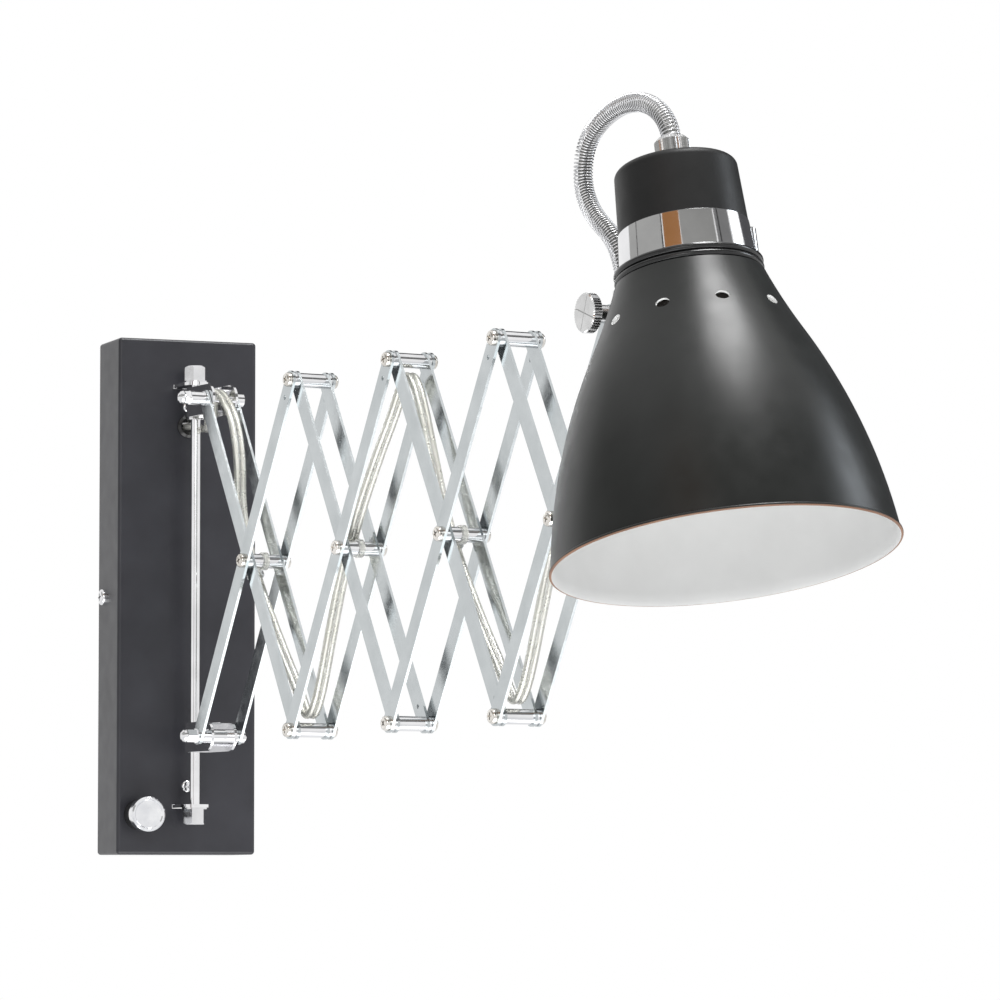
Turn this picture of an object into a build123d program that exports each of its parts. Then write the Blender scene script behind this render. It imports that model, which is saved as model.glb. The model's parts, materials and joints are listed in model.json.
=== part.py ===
from build123d import *
from math import atan2, cos, degrees, pi, radians, sin, tan
import os

# Accordion wall lamp, in millimetres. The wall is the plane y = 0, +X runs right along it, -Y comes
# out of it and +Z is up. The origin is the middle of the cover's back.

# ---------------------------------------------------------------- driving dimensions
# wall cover and the bracket behind it
COVER_W = 84.0
COVER_H = 300.0
COVER_D = 38.0
COVER_WALL = 1.2
COVER_EDGE_R = 2.0
BRACKET_H = 120.0
BRACKET_FLANGE = 18.0
BRACKET_T = 1.5
WALL_HOLE_R = 2.75
WALL_HOLE_SPACING = 90.0
WIRE_HOLE_R = 8.0
WIRE_HOLE_Z = 22.0
SIDE_SCREW_Y = 11.0
SIDE_SCREW_HEAD_R = 4.75

# swing rod in front of the cover
ROD_R = 3.0
ROD_GAP = 15.0
TAB_Z = 122.2
TAB_T = 1.8
TAB_W = 17.0
TAB_LEG_END = 104.8
TAB_SCREW_Z = 110.5
TAB_SCREW_HEAD_R = 3.6
ROD_NUT_FLATS = 12.0
ROD_NUT_H = 8.8
ROD_WASHER_R = 7.5
ROD_WASHER_T = 1.0
CLIP_R = 5.2
CLIP_T = 0.8

# scissor arm
BAR_SPAN = 225.0
BAR_W = 10.0
BAR_T = 1.5
INNER_X = 8.25
PLANE_STEP = 3.5
STAGES = 4
FOLD_REST = 30.5
SWING_REST = 8.0
TOP_Z = 111.0
REACH = 30.0
SPACER_R = 4.0
WASHER_R = 4.25
SCREW_R = 1.95
SCREW_HEAD_R = 4.0
SCREW_HEAD_H = 2.6
SCREW_DEPTH = 4.25
TIE_HOLE_R = 1.25
TIE_HOLE_U = 11.0

# clevises on the rod
SLEEVE_R = 5.0
SLEEVE_H = 17.0
CLEVIS_IN = 6.5
CLEVIS_T = 1.5
NUT_FLATS = 7.0
NUT_DOME_R = 3.9
TOP_COLLAR_END = 19.0
TOP_HEX_END = 22.6
LOW_HEX_END = 20.2
BOLT_HEAD_H = 3.2

# dimmer, lead outlet and terminal block
DIMMER_X = -29.0
DIMMER_Z = -127.0
DIMMER_SIZE = (20.0, 16.0, 22.0)
DIMMER_BUSH_R = 4.9
DIMMER_BUSH_LEN = 6.5
SPINDLE_R = 3.0
KNOB_BODY_R = 9.0
KNOB_CAP_R = 10.0
KNOB_BODY_LEN = 12.5
KNOB_CAP_LEN = 7.0
BUSHING_Z = 99.0
BUSHING_R = 6.5
BUSHING_T = 2.5
BUSHING_NECK_R = 5.2
TERMINAL_SIZE = (30.0, 16.0, 14.0)
TERMINAL_AT = (22.0, -40.0)

# clear twin lead: a flat cord of two cores side by side
LEAD_W = 7.4
LEAD_T = 3.8
LEAD_BEND_R = 8.35
LEAD_TURN = 62.0
TIE_W = 3.0
TIE_T = 0.9
TIE_GAP = 0.15

# lamp head, measured along its own axis from the point that HEAD_AT names
HEAD_AT = (62.0, -21.0)
HEAD_TILT = 13.0
CAP_TOP = 92.0
CAP_FOOT = 59.0
CAP_TOP_R = 30.3
CAP_FOOT_R = 31.9
CAP_EDGE_R = 4.0
CAP_WALL = 1.5
BAND_FOOT = 40.5
BAND_TOP_R = 32.2
BAND_FOOT_R = 33.7
BEAD_FOOT = 34.0
BEAD_R = 36.2
SHADE_TOP_R = 36.5
SHADE_RIM_R = 84.0
SHADE_RIM = 104.6
SHADE_WALL = 1.2
SHADE_LIP_R = 1.0
VENT_R = 3.5
VENT_COUNT = 10
VENT_AT = 11.0
HOLDER_R = 19.8
HOLDER_TOP = 72.0
HOLDER_MOUTH = 20.0
HOLDER_BORE_R = 13.35
HOLDER_BORE_DEPTH = 29.0
HOLDER_RING_R = 25.0
GLAND_R = 8.75
GLAND_H = 14.7
GLAND_FLUTES = 24
HOSE_R = 5.0
HOSE_BORE_R = 3.2
FERRULE_R = 6.0
FERRULE_H = 9.0
FERRULE_AT = (-6.0, 4.3)
THUMB_COLLAR_R = 4.5
THUMB_COLLAR_END = 22.0
THUMB_DISC_R = 10.0
THUMB_DISC_T = 5.3
THUMB_FLUTES = 30

# clearances
RUN_R = 0.05
BORE_R = 0.07
FACE_GAP = 0.1
SLOT_GAP = 0.3
SEAT_GAP = 0.3

# ---------------------------------------------------------------- places worked out from them
ROD_Y = COVER_D + ROD_GAP
HALF = BAR_SPAN / 2
STEP_D = BAR_SPAN * sin(radians(FOLD_REST))
STEP_Z = BAR_SPAN * cos(radians(FOLD_REST))
OUTER_X = INNER_X + PLANE_STEP
INNER_FACE = INNER_X + BAR_T
OUTER_FACE = OUTER_X + BAR_T
HEAD_X = OUTER_FACE + FACE_GAP
ARM = Location((0, -ROD_Y, 0), (0, 0, SWING_REST))
FALL = (sin(radians(FOLD_REST)), -cos(radians(FOLD_REST)))
RISE = (sin(radians(FOLD_REST)), cos(radians(FOLD_REST)))


def top(i):
    """Pivot i of the top row, as (distance out from the rod, height)."""
    return (REACH + i * STEP_D, TOP_Z)


def low(i):
    """Pivot i of the bottom row."""
    return (REACH + i * STEP_D, TOP_Z - STEP_Z)


def mid(i):
    """Crossing of stage i."""
    return (REACH + (i - 0.5) * STEP_D, TOP_Z - STEP_Z / 2)


TIP = top(STAGES)
HEAD = ARM * Location((0, -(TIP[0] + HEAD_AT[0]), TIP[1] + HEAD_AT[1]), (-HEAD_TILT, 0, 0))


# ---------------------------------------------------------------- helpers
def side_plane(x):
    """Plane across the arm at x, whose two axes are distance out and height."""
    return Plane(origin=(x, 0, 0), x_dir=(0, -1, 0), z_dir=(-1, 0, 0))


def slab(sketch, x0, x1):
    """Sketch in (distance out, height), thickened from x0 to x1."""
    return extrude(side_plane(x1) * sketch, amount=x1 - x0)


def disc(r, x0, x1, at, bore=0.0):
    """Round solid along X at a pivot."""
    sketch = Pos(*at) * Circle(r)
    if bore:
        sketch -= Pos(*at) * Circle(bore)
    return slab(sketch, min(x0, x1), max(x0, x1))


def turned_x(outline, at, side):
    """Solid of revolution about a pivot, from (x, radius) points, on side -1 or +1."""
    edge = Polyline([(x, r) for x, r in outline], close=True)
    solid = revolve(make_face(edge), Axis.X)
    if side < 0:
        solid = mirror(solid, Plane.YZ)
    return Pos(0, -at[0], at[1]) * solid


def turned(outline):
    """Solid of revolution about Z from (radius, height) points."""
    edge = Polyline([(r, 0, z) for r, z in outline], close=True)
    return revolve(make_face(edge), Axis.Z)


def hexagon(flats):
    return RegularPolygon(flats / 2, 6, major_radius=False)


def fluted(radius, depth, count):
    """Outline of a knurled round: a polygon that steps in and out."""
    points = []
    for i in range(2 * count):
        r = radius if i % 2 else radius - depth
        a = pi * i / count
        points.append((r * cos(a), r * sin(a)))
    return make_face(Polyline(points, close=True))


def bar(start, direction, length, x0, holes):
    """Flat strip with round ends from a pivot, with (distance along, radius) holes."""
    angle = degrees(atan2(direction[1], direction[0]))
    sketch = Pos(length / 2, 0) * SlotCenterToCenter(length, BAR_W)
    for along, radius in holes:
        sketch -= Pos(along, 0) * Circle(radius)
    return slab(Pos(*start) * Rot(0, 0, angle) * sketch, x0, x0 + BAR_T)


def rounded_path(points, radii):
    """Straight runs joined by tangent arcs, one radius for each inner point."""
    points = [Vector(*p) for p in points]
    edges = []
    last = points[0]
    for i, radius in enumerate(radii):
        corner = points[i + 1]
        into = (corner - points[i]).normalized()
        out = (points[i + 2] - corner).normalized()
        turn = radians(into.get_angle(out))
        reach = radius * tan(turn / 2)
        start = corner - into * reach
        end = corner + out * reach
        bulge = radius * (1 / cos(turn / 2) - 1)
        middle = corner + (out - into).normalized() * bulge
        if (start - last).length > 0.01:
            edges.append(Line(last, start))
        edges.append(ThreePointArc(start, middle, end))
        last = end
    edges.append(Line(last, points[-1]))
    return Wire(edges)


def easy_radii(points):
    """The largest arcs that the runs beside each point leave room for."""
    points = [Vector(*p) for p in points]
    radii = []
    for i in range(1, len(points) - 1):
        into = points[i] - points[i - 1]
        out = points[i + 1] - points[i]
        turn = radians(into.get_angle(out))
        radii.append(0.45 * min(into.length, out.length) / tan(turn / 2))
    return radii


def lead_section():
    """Flat twin lead, cut square: eight sides, LEAD_W wide and LEAD_T thick."""
    w, t = LEAD_W / 2, LEAD_T / 2
    corner = t * 0.58
    quarter = [(w, t - corner), (w - corner, t)]
    left = [(-x, y) for x, y in reversed(quarter)]
    lower = [(-x, -y) for x, y in quarter + left]
    return make_face(Polyline(quarter + left + lower, close=True))


def swept(path, section, across=(1, 0, 0)):
    """Section along a path; its first axis starts along `across`."""
    plane = Plane(origin=path.position_at(0), x_dir=across, z_dir=path.tangent_at(0))
    solid = sweep(plane * section, path=path)
    ratio = solid.volume / (section.area * path.length)
    print(f"  swept length {path.length:.1f} mm, volume over section times length {ratio:.3f}")
    return solid


def save(name, pieces, place=None):
    """Write one node from its separate solids."""
    solids = []
    for piece in pieces:
        solids += (place * piece).solids() if place else piece.solids()
    export_step(Compound(children=solids), f"parts/{name}.step")
    print(f"{name}: {len(solids)} solid(s), {sum(s.volume for s in solids):.1f} mm3")


# ---------------------------------------------------------------- wall side
def wall_cover():
    shell = Pos(0, -COVER_D / 2, 0) * Box(COVER_W, COVER_D, COVER_H)
    back = shell.faces().sort_by(Axis.Y)[-1]
    rim = back.edges()
    shell = fillet([e for e in shell.edges() if e not in rim], COVER_EDGE_R)
    inner_w = COVER_W - 2 * COVER_WALL
    inner_h = COVER_H - 2 * COVER_WALL
    inner_d = COVER_D - COVER_WALL
    hollow = Pos(0, -inner_d / 2, 0) * Box(inner_w, inner_d, inner_h)
    shell -= hollow
    front_y = -COVER_D + COVER_WALL / 2
    cuts = []
    for sign in (-1, 1):
        slot = Box(TAB_W + 2 * SLOT_GAP, 3 * COVER_WALL, TAB_T + 2 * SLOT_GAP)
        cuts.append(Pos(0, front_y, sign * TAB_Z) * slot)
        cuts.append(front_hole(0, sign * TAB_SCREW_Z, SCREW_R + BORE_R))
        cuts.append(side_hole(sign, SCREW_R + SLOT_GAP))
    cuts.append(front_hole(DIMMER_X, DIMMER_Z, DIMMER_BUSH_R + BORE_R))
    cuts.append(front_hole(0, BUSHING_Z, BUSHING_NECK_R + BORE_R))
    return shell - cuts


def front_hole(x, z, r):
    return Pos(x, -COVER_D + COVER_WALL / 2, z) * Rot(90, 0, 0) * Cylinder(r, 3 * COVER_WALL)


def side_hole(sign, r):
    return Pos(sign * COVER_W / 2, -SIDE_SCREW_Y, 0) * Rot(0, 90, 0) * Cylinder(r, 4 * COVER_WALL)


BRACKET_W = COVER_W - 2 * COVER_WALL - 2 * SEAT_GAP


def mounting_bracket():
    """Channel against the wall, whose flanges take the cover's two side screws."""
    plate = Pos(0, -BRACKET_T / 2, 0) * Box(BRACKET_W, BRACKET_T, BRACKET_H)
    solid = plate
    for sign in (-1, 1):
        x = sign * (BRACKET_W - BRACKET_T) / 2
        solid += Pos(x, -BRACKET_FLANGE / 2, 0) * Box(BRACKET_T, BRACKET_FLANGE, BRACKET_H)
        solid -= Pos(x, -SIDE_SCREW_Y, 0) * Rot(0, 90, 0) * Cylinder(SCREW_R + RUN_R, 4 * BRACKET_T)
        hole = Rot(90, 0, 0) * Cylinder(WALL_HOLE_R, 4 * BRACKET_T)
        solid -= Pos(0, 0, sign * WALL_HOLE_SPACING / 2) * hole
    solid -= Pos(0, 0, WIRE_HOLE_Z) * Rot(90, 0, 0) * Cylinder(WIRE_HOLE_R, 4 * BRACKET_T)
    return solid


def domed_head(r, h, shank_r, shank_len):
    """Screw with its head's seat at z = 0, head up and shank down."""
    return turned([(0, h), (r * 0.55, h * 0.92), (r, h * 0.35), (r, 0), (shank_r, 0),
                   (shank_r, -shank_len), (0, -shank_len)])


def cover_screws():
    screws = []
    for sign in (-1, 1):
        screw = domed_head(SIDE_SCREW_HEAD_R, 3.0, SCREW_R, 8.0)
        turn = Rot(0, 90 * sign, 0)
        screws.append(Pos(sign * COVER_W / 2, -SIDE_SCREW_Y, 0) * turn * screw)
    return screws


def rod_tab(sign):
    """Bent strip: screwed behind the cover's front, its other leg holds the rod."""
    inner_y = -(COVER_D - COVER_WALL)
    reach = ROD_Y + inner_y
    flat = Pos(0, -reach / 2) * Rectangle(TAB_W, reach) + Pos(0, -reach) * Circle(TAB_W / 2)
    leg = extrude(flat, amount=TAB_T / 2, both=True)
    leg = Pos(0, inner_y, sign * TAB_Z) * leg
    bore = Pos(0, -ROD_Y, sign * TAB_Z) * Cylinder(ROD_R + RUN_R, 2 * TAB_T)
    back_len = TAB_Z + TAB_T / 2 - TAB_LEG_END
    back = Box(TAB_W, TAB_T, back_len)
    back = Pos(0, inner_y + TAB_T / 2, sign * (TAB_LEG_END + back_len / 2)) * back
    screw_hole = Pos(0, inner_y, sign * TAB_SCREW_Z) * Rot(90, 0, 0) * Cylinder(SCREW_R + RUN_R, 4 * TAB_T)
    return leg + back - bore - screw_hole


def tab_screws():
    screws = []
    for sign in (-1, 1):
        screw = domed_head(TAB_SCREW_HEAD_R, 2.4, SCREW_R, 5.0)
        screws.append(Pos(0, -COVER_D, sign * TAB_SCREW_Z) * Rot(90, 0, 0) * screw)
    return screws


ROD_HALF = TAB_Z + TAB_T / 2 + ROD_WASHER_T + ROD_NUT_H - 0.8


def swing_rod():
    rod = Cylinder(ROD_R, 2 * ROD_HALF)
    rod = chamfer(rod.edges().filter_by(GeomType.CIRCLE), 0.5)
    return Pos(0, -ROD_Y, 0) * rod


def rod_nuts():
    """Two plain nuts with washers, one pair on each threaded end."""
    pieces = []
    for sign in (-1, 1):
        seat = TAB_Z + TAB_T / 2
        ring = Circle(ROD_WASHER_R) - Circle(ROD_R + RUN_R)
        washer = extrude(ring, amount=ROD_WASHER_T)
        body = extrude(hexagon(ROD_NUT_FLATS), amount=ROD_NUT_H)
        body = intersected_cone(body, ROD_NUT_FLATS, ROD_NUT_H)
        nut = body - Pos(0, 0, ROD_NUT_H / 2) * Cylinder(ROD_R + RUN_R, 2 * ROD_NUT_H)
        stack = [washer, Pos(0, 0, ROD_WASHER_T) * nut]
        for piece in stack:
            placed = Pos(0, -ROD_Y, seat) * piece
            pieces.append(placed if sign > 0 else mirror(placed, Plane.XY))
    return pieces


def intersected_cone(body, flats, height):
    """Bevel a nut's outer corners, as a turned blank leaves them."""
    r = flats / 2 / cos(pi / 6)
    blank = turned([(0, 0), (r + 0.1, 0), (r + 0.1, height - 1.2), (r - 1.0, height), (0, height)])
    return body & blank


def retaining_clip():
    """Snap ring in the rod under the upper sleeve, open towards the wall."""
    seat = TOP_Z - SLEEVE_H / 2 - FACE_GAP
    ring = Circle(CLIP_R) - Circle(ROD_R + RUN_R) - Pos(0, CLIP_R) * Rectangle(2.4, CLIP_R)
    return Pos(0, -ROD_Y, seat - CLIP_T) * extrude(ring, amount=CLIP_T)


# ---------------------------------------------------------------- dimmer, outlet and terminal block
def dimmer_body():
    w, d, h = DIMMER_SIZE
    back = -(COVER_D - COVER_WALL)
    case = Pos(DIMMER_X, back + d / 2, DIMMER_Z) * Box(w, d, h)
    case = chamfer(case.edges().filter_by(Axis.Z), 1.0)
    bush_len = DIMMER_BUSH_LEN + 1.0
    bush = Rot(90, 0, 0) * Cylinder(DIMMER_BUSH_R, bush_len)
    bush = Pos(DIMMER_X, back + 1.0 - bush_len / 2, DIMMER_Z) * bush
    bore_len = DIMMER_BUSH_LEN + 8.0
    bore = Rot(90, 0, 0) * Cylinder(SPINDLE_R + RUN_R, 2 * bore_len)
    bore = Pos(DIMMER_X, back - DIMMER_BUSH_LEN - bore_len + 14.5, DIMMER_Z) * bore
    solid = case + bush - bore
    for i in (-1, 0, 1):
        solid += Pos(DIMMER_X + 5.0 * i, back + d - 3.0, DIMMER_Z + h / 2) * Box(2.4, 0.8, 9.0)
    return solid


def dimmer_nut():
    nut = extrude(hexagon(13.0) - Circle(DIMMER_BUSH_R + RUN_R), amount=2.5)
    return Pos(DIMMER_X, -COVER_D, DIMMER_Z) * Rot(90, 0, 0) * nut


KNOB_BACK = COVER_D + 0.5
KNOB_SEAT = KNOB_BACK + KNOB_BODY_LEN


def dimmer_spindle():
    inner = COVER_D - COVER_WALL - 6.0
    length = KNOB_SEAT - 1.0 - inner
    spindle = Pos(0, 0, inner + length / 2) * Cylinder(SPINDLE_R, length)
    return Pos(DIMMER_X, 0, DIMMER_Z) * Rot(90, 0, 0) * spindle


def knob_body():
    """Black skirt, hollow at the back to go over the nut."""
    recess = 6.0
    skirt = turned([(0, KNOB_SEAT), (KNOB_BODY_R, KNOB_SEAT), (KNOB_BODY_R, KNOB_BACK),
                    (KNOB_BODY_R - 1.0, KNOB_BACK), (KNOB_BODY_R - 1.0, KNOB_BACK + recess),
                    (0, KNOB_BACK + recess)])
    skirt -= Pos(0, 0, KNOB_SEAT - 1.0 - 5.0) * Cylinder(SPINDLE_R + 0.02, 10.0)
    return Pos(DIMMER_X, 0, DIMMER_Z) * Rot(90, 0, 0) * skirt


def knob_cap():
    """Bright cap with a raised rim round a shallow dish."""
    tip = KNOB_SEAT + KNOB_CAP_LEN
    dish = KNOB_CAP_R - 1.6
    cap = turned([(0, KNOB_SEAT), (KNOB_CAP_R, KNOB_SEAT), (KNOB_CAP_R, tip - 0.8),
                  (KNOB_CAP_R - 0.8, tip), (dish, tip), (dish - 0.6, tip - 0.7), (0, tip - 0.7)])
    return Pos(DIMMER_X, 0, DIMMER_Z) * Rot(90, 0, 0) * cap


def lead_bushing():
    """Flanged bush where the lead comes out of the cover."""
    neck = 4.0
    body = turned([(0, BUSHING_T), (BUSHING_R - 1.5, BUSHING_T), (BUSHING_R, BUSHING_T - 1.2),
                   (BUSHING_R, 0), (BUSHING_NECK_R, 0), (BUSHING_NECK_R, -neck), (0, -neck)])
    passage = Box(LEAD_W + 2 * SLOT_GAP, LEAD_T + 2 * SLOT_GAP, 4 * (neck + BUSHING_T))
    return Pos(0, -COVER_D, BUSHING_Z) * Rot(90, 0, 0) * (body - passage)


def terminal_block():
    w, d, h = TERMINAL_SIZE
    x, z = TERMINAL_AT
    block = Pos(x, -BRACKET_T - d / 2, z) * Box(w, d, h)
    for i in (-1, 0, 1):
        at_x = x + i * w / 3
        wire = Pos(at_x, -BRACKET_T - 5.0, z) * Cylinder(1.8, 2 * h)
        screw = Pos(at_x, -BRACKET_T - d, z) * Rot(90, 0, 0) * Cylinder(2.2, d)
        block -= [wire, screw]
    for i in (-0.5, 0.5):
        block -= Pos(x + i * w / 3, -BRACKET_T - d, z) * Box(1.2, d * 0.7, 2 * h)
    return block


def supply_lead():
    """From just outside the outlet to the top of the terminal block."""
    x, z = TERMINAL_AT
    foot = z + TERMINAL_SIZE[2] / 2
    out = -(COVER_D + BUSHING_T + 1.0)
    points = [(0, out, BUSHING_Z), (0, -26.0, BUSHING_Z), (2.0, -19.0, BUSHING_Z - 22.0),
              (9.0, -21.0, BUSHING_Z - 52.0), (19.0, -19.0, 12.0), (x, -7.5, -14.0), (x, -7.5, foot)]
    radii = easy_radii(points)
    print("  supply lead radii", [round(r, 1) for r in radii])
    return swept(rounded_path(points, radii), lead_section())


# ---------------------------------------------------------------- clevises on the rod
def clevis(pivot):
    """Sleeve with a forked bracket, made as one brazed piece."""
    wide = CLEVIS_IN + CLEVIS_T
    fork_start = ROD_R + 1.0
    outline = Pos(0, -(fork_start + CLEVIS_T / 2)) * Rectangle(2 * wide, CLEVIS_T)
    leg_len = REACH + SLEEVE_H
    for sign in (-1, 1):
        leg = Rectangle(CLEVIS_T, leg_len)
        outline += Pos(sign * (CLEVIS_IN + CLEVIS_T / 2), -(fork_start + leg_len / 2)) * leg
    fork = extrude(outline, amount=SLEEVE_H / 2, both=True)
    side = Pos(REACH / 2, 0) * Rectangle(REACH, SLEEVE_H) + Pos(REACH, 0) * Circle(SLEEVE_H / 2)
    fork &= slab(side, -wide, wide)
    fork -= disc(SCREW_R + RUN_R, -wide - 1, wide + 1, (REACH, 0))
    sleeve = Cylinder(SLEEVE_R, SLEEVE_H)
    bore = Cylinder(ROD_R + RUN_R, 2 * SLEEVE_H)
    return Pos(0, 0, pivot[1]) * (fork + sleeve - bore)


def cap_nut(x0, x1, at, side, bore_to):
    """Domed nut along X from its seat x0; the dome starts at x1."""
    body = slab(Pos(*at) * hexagon(NUT_FLATS), x0, x1)
    dome = turned_x([(x1 - 0.01, 0), (x1 - 0.01, NUT_DOME_R - 0.3), (x1 + 0.9, NUT_DOME_R),
                     (x1 + 2.2, NUT_DOME_R * 0.86), (x1 + 3.3, NUT_DOME_R * 0.5), (x1 + 3.8, 0)],
                    at, 1)
    nut = body + dome - disc(SCREW_R + RUN_R, x0 - 1, bore_to, at)
    return mirror(nut, Plane.YZ) if side < 0 else nut


def clevis_bolt(near_end, far_seat, at):
    """Bolt from its domed head on the far side to the near cap nut."""
    r = SCREW_HEAD_R
    return turned_x([(-near_end, 0), (-near_end, SCREW_R), (far_seat, SCREW_R), (far_seat, r),
                     (far_seat + 1.4, r), (far_seat + BOLT_HEAD_H - 0.4, r * 0.6),
                     (far_seat + BOLT_HEAD_H, 0)], at, 1)


UPPER_FAR_SEAT = 13.2


def upper_collars():
    """Washers against the bars and the long collar under the near nut."""
    at = top(0)
    bore = SCREW_R + RUN_R
    seat = INNER_FACE + FACE_GAP
    return [disc(WASHER_R, seat, seat + 1.0, at, bore), disc(WASHER_R, -seat - 1.0, -seat, at, bore),
            disc(SPACER_R, -TOP_COLLAR_END, -seat - 1.0, at, bore),
            disc(SPACER_R, seat + 1.0, UPPER_FAR_SEAT, at, bore)]


def lower_collars():
    """Tube between the fork's legs, collars outside them and washers on the bars."""
    at = low(0)
    bore = SCREW_R + RUN_R
    leg = CLEVIS_IN + CLEVIS_T
    collars = [disc(SPACER_R, -CLEVIS_IN, CLEVIS_IN, at, bore)]
    for sign in (-1, 1):
        collars.append(disc(SPACER_R, sign * leg, sign * (OUTER_X - FACE_GAP), at, bore))
        collars.append(disc(WASHER_R, sign * HEAD_X, sign * (HEAD_X + 1.0), at, bore))
    return collars


# ---------------------------------------------------------------- scissor bars
def falling_bars(i):
    """The pair of stage i that runs down and out from the top row, in the inner planes."""
    pinned = SCREW_R + RUN_R
    pivot_hole = SCREW_R + BORE_R
    start = top(i - 1)
    span = BAR_SPAN if i < STAGES else HALF
    holes = [(0, pivot_hole if i == 1 else pinned), (HALF, pinned)]
    if i < STAGES:
        holes.append((BAR_SPAN, pinned))
        holes.append((BAR_SPAN - TIE_HOLE_U, TIE_HOLE_R))
    return [bar(start, FALL, span, x, holes) for x in (-INNER_FACE, INNER_X)]


def rising_bars(i):
    """The pair of stage i that runs up and out from the bottom row, in the outer planes."""
    pivot_hole = SCREW_R + BORE_R
    holes = [(0, pivot_hole), (HALF, pivot_hole), (BAR_SPAN, pivot_hole)]
    holes.append((BAR_SPAN - TIE_HOLE_U, TIE_HOLE_R))
    return [bar(low(i - 1), RISE, BAR_SPAN, x, holes) for x in (-OUTER_FACE, OUTER_X)]


def pivots_of(i):
    """Pivots whose spacers and screws are clamped to falling pair i."""
    points = [mid(i)]
    if i > 1:
        points.append(top(i - 1))
    if i < STAGES:
        points.append(low(i))
    return points


def spacers(points):
    """Tube between the inner bars and a washer outside each of them."""
    bore = SCREW_R + RUN_R
    pieces = []
    for at in points:
        pieces.append(disc(SPACER_R, -INNER_X, INNER_X, at, bore))
        for sign in (-1, 1):
            pieces.append(disc(WASHER_R, sign * INNER_FACE, sign * (OUTER_X - FACE_GAP), at, bore))
    return pieces


def pan_screw(at, side):
    """Screw from inside the spacer out to its head on the outer bar."""
    r = SCREW_HEAD_R
    return turned_x([(SCREW_DEPTH, 0), (SCREW_DEPTH, SCREW_R), (HEAD_X, SCREW_R), (HEAD_X, r),
                     (HEAD_X + 1.3, r), (HEAD_X + SCREW_HEAD_H, r * 0.55),
                     (HEAD_X + SCREW_HEAD_H, 0)], at, side)


# ---------------------------------------------------------------- lead along the arm
def along(start, direction, out_sign, u, w):
    """Point u along a bar from a pivot and w to the bar's outward side."""
    n = (-direction[1] * out_sign, direction[0] * out_sign)
    return (0, -(start[0] + u * direction[0] + w * n[0]), start[1] + u * direction[1] + w * n[1])


def strand(start, direction, out_sign, offsets, end_turn=0.0):
    """Lead riding on one bar pair, from (u, w) points, with a part turn at a V-turn's end, and its tie."""
    points = [along(start, direction, out_sign, u, w) for u, w in offsets]
    radii = easy_radii(points)
    print("  lead radii", [round(r, 1) for r in radii])
    path = rounded_path(points, radii)
    edges = list(path.edges())
    if end_turn:
        edges.append(turn_arc(path.position_at(1), path.tangent_at(1), end_turn))
    crossing = (start[0] + HALF * direction[0], start[1] + HALF * direction[1])
    return [swept(Wire(edges), lead_section()), lead_tie(path, crossing)]


def lead_tie(path, at):
    """Clear clip with two eyes: one round a spacer, one round the lead beside it."""
    pivot = Vector(0, -at[0], at[1])
    shares = [i / 400 for i in range(401)]
    share = min(shares, key=lambda a: (path.position_at(a) - pivot).length)
    centre = path.position_at(share)
    away = (centre - pivot).normalized()
    distance = (centre - pivot).length
    inner_r = SPACER_R + TIE_GAP
    eye = extrude(Circle(inner_r + TIE_T) - Circle(inner_r), amount=TIE_W / 2, both=True)
    frame = Plane(origin=pivot, x_dir=away, z_dir=(1, 0, 0))
    hole = (LEAD_T + 2 * TIE_GAP, LEAD_W + 2 * TIE_GAP)
    loop = Box(hole[0] + 2 * TIE_T, TIE_W, hole[1] + 2 * TIE_T) - Box(hole[0], 2 * TIE_W, hole[1])
    near = distance - hole[0] / 2
    stem_len = near - inner_r - TIE_T / 2
    stem = Pos(inner_r + TIE_T / 2 + stem_len / 2, 0, 0) * Box(stem_len, TIE_W, TIE_W)
    return frame * (eye + Pos(distance, 0, 0) * loop + stem)


def turn_arc(start, tangent, turn):
    """Arc of the V-turn's radius that goes on from a strand's end."""
    half = radians(abs(turn)) / 2
    side = tangent.rotate(Axis.X, 90 if turn > 0 else -90)
    middle = start + tangent * (LEAD_BEND_R * sin(half)) + side * (LEAD_BEND_R * (1 - cos(half)))
    end = start + tangent * (LEAD_BEND_R * sin(2 * half))
    end += side * (LEAD_BEND_R * (1 - cos(2 * half)))
    return ThreePointArc(start, middle, end)


V_REACH = LEAD_BEND_R * tan(radians(90 - FOLD_REST))


def bracket_lead():
    """Past the rod, up inside the upper fork and over its bolt."""
    points = [(7.4, -1.0, BUSHING_Z - 2.6), (7.0, -5.5, BUSHING_Z - 3.3),
              (1.5, -15.5, BUSHING_Z - 3.0), (0, -20.0, BUSHING_Z + 4.0),
              (0, -22.4, BUSHING_Z + 14.9), (0, -29.0, BUSHING_Z + 16.9)]
    radii = [4.5, 6.0, 6.0, 5.5]
    return swept(rounded_path(points, radii), lead_section())


# ---------------------------------------------------------------- lamp head
def head_bracket():
    """Two ears from the tilt pivot, joined by a bridge against the band."""
    foot = (BAND_FOOT + 2.5, CAP_FOOT - 2.0)
    seat = BAND_FOOT_R + 0.05
    bridge = Pos(0, seat + BAR_T / 2, (foot[0] + foot[1]) / 2)
    bridge *= Box(2 * INNER_FACE, BAR_T, foot[1] - foot[0])
    bridge -= bridge_hole(seat)
    tilt = radians(HEAD_TILT)
    ears = []
    corners = []
    for h, r in ((foot[0], seat), (foot[1], seat), (foot[1], seat + BAR_T), (foot[0], seat + BAR_T)):
        out = HEAD_AT[0] - h * sin(tilt) - r * cos(tilt)
        up = HEAD_AT[1] + h * cos(tilt) - r * sin(tilt)
        corners.append((TIP[0] + out, TIP[1] + up))
    patch = make_face(Polyline(corners, close=True))
    eye = Pos(*TIP) * Circle(BAR_W * 0.6)
    shape = make_hull((patch + eye).edges())
    shape -= Pos(*TIP) * Circle(SCREW_R + BORE_R)
    for x in (-INNER_FACE, INNER_X):
        ears.append(slab(shape, x, x + BAR_T))
    local = HEAD.inverse() * ARM
    return bridge + [local * ear for ear in ears]


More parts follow.
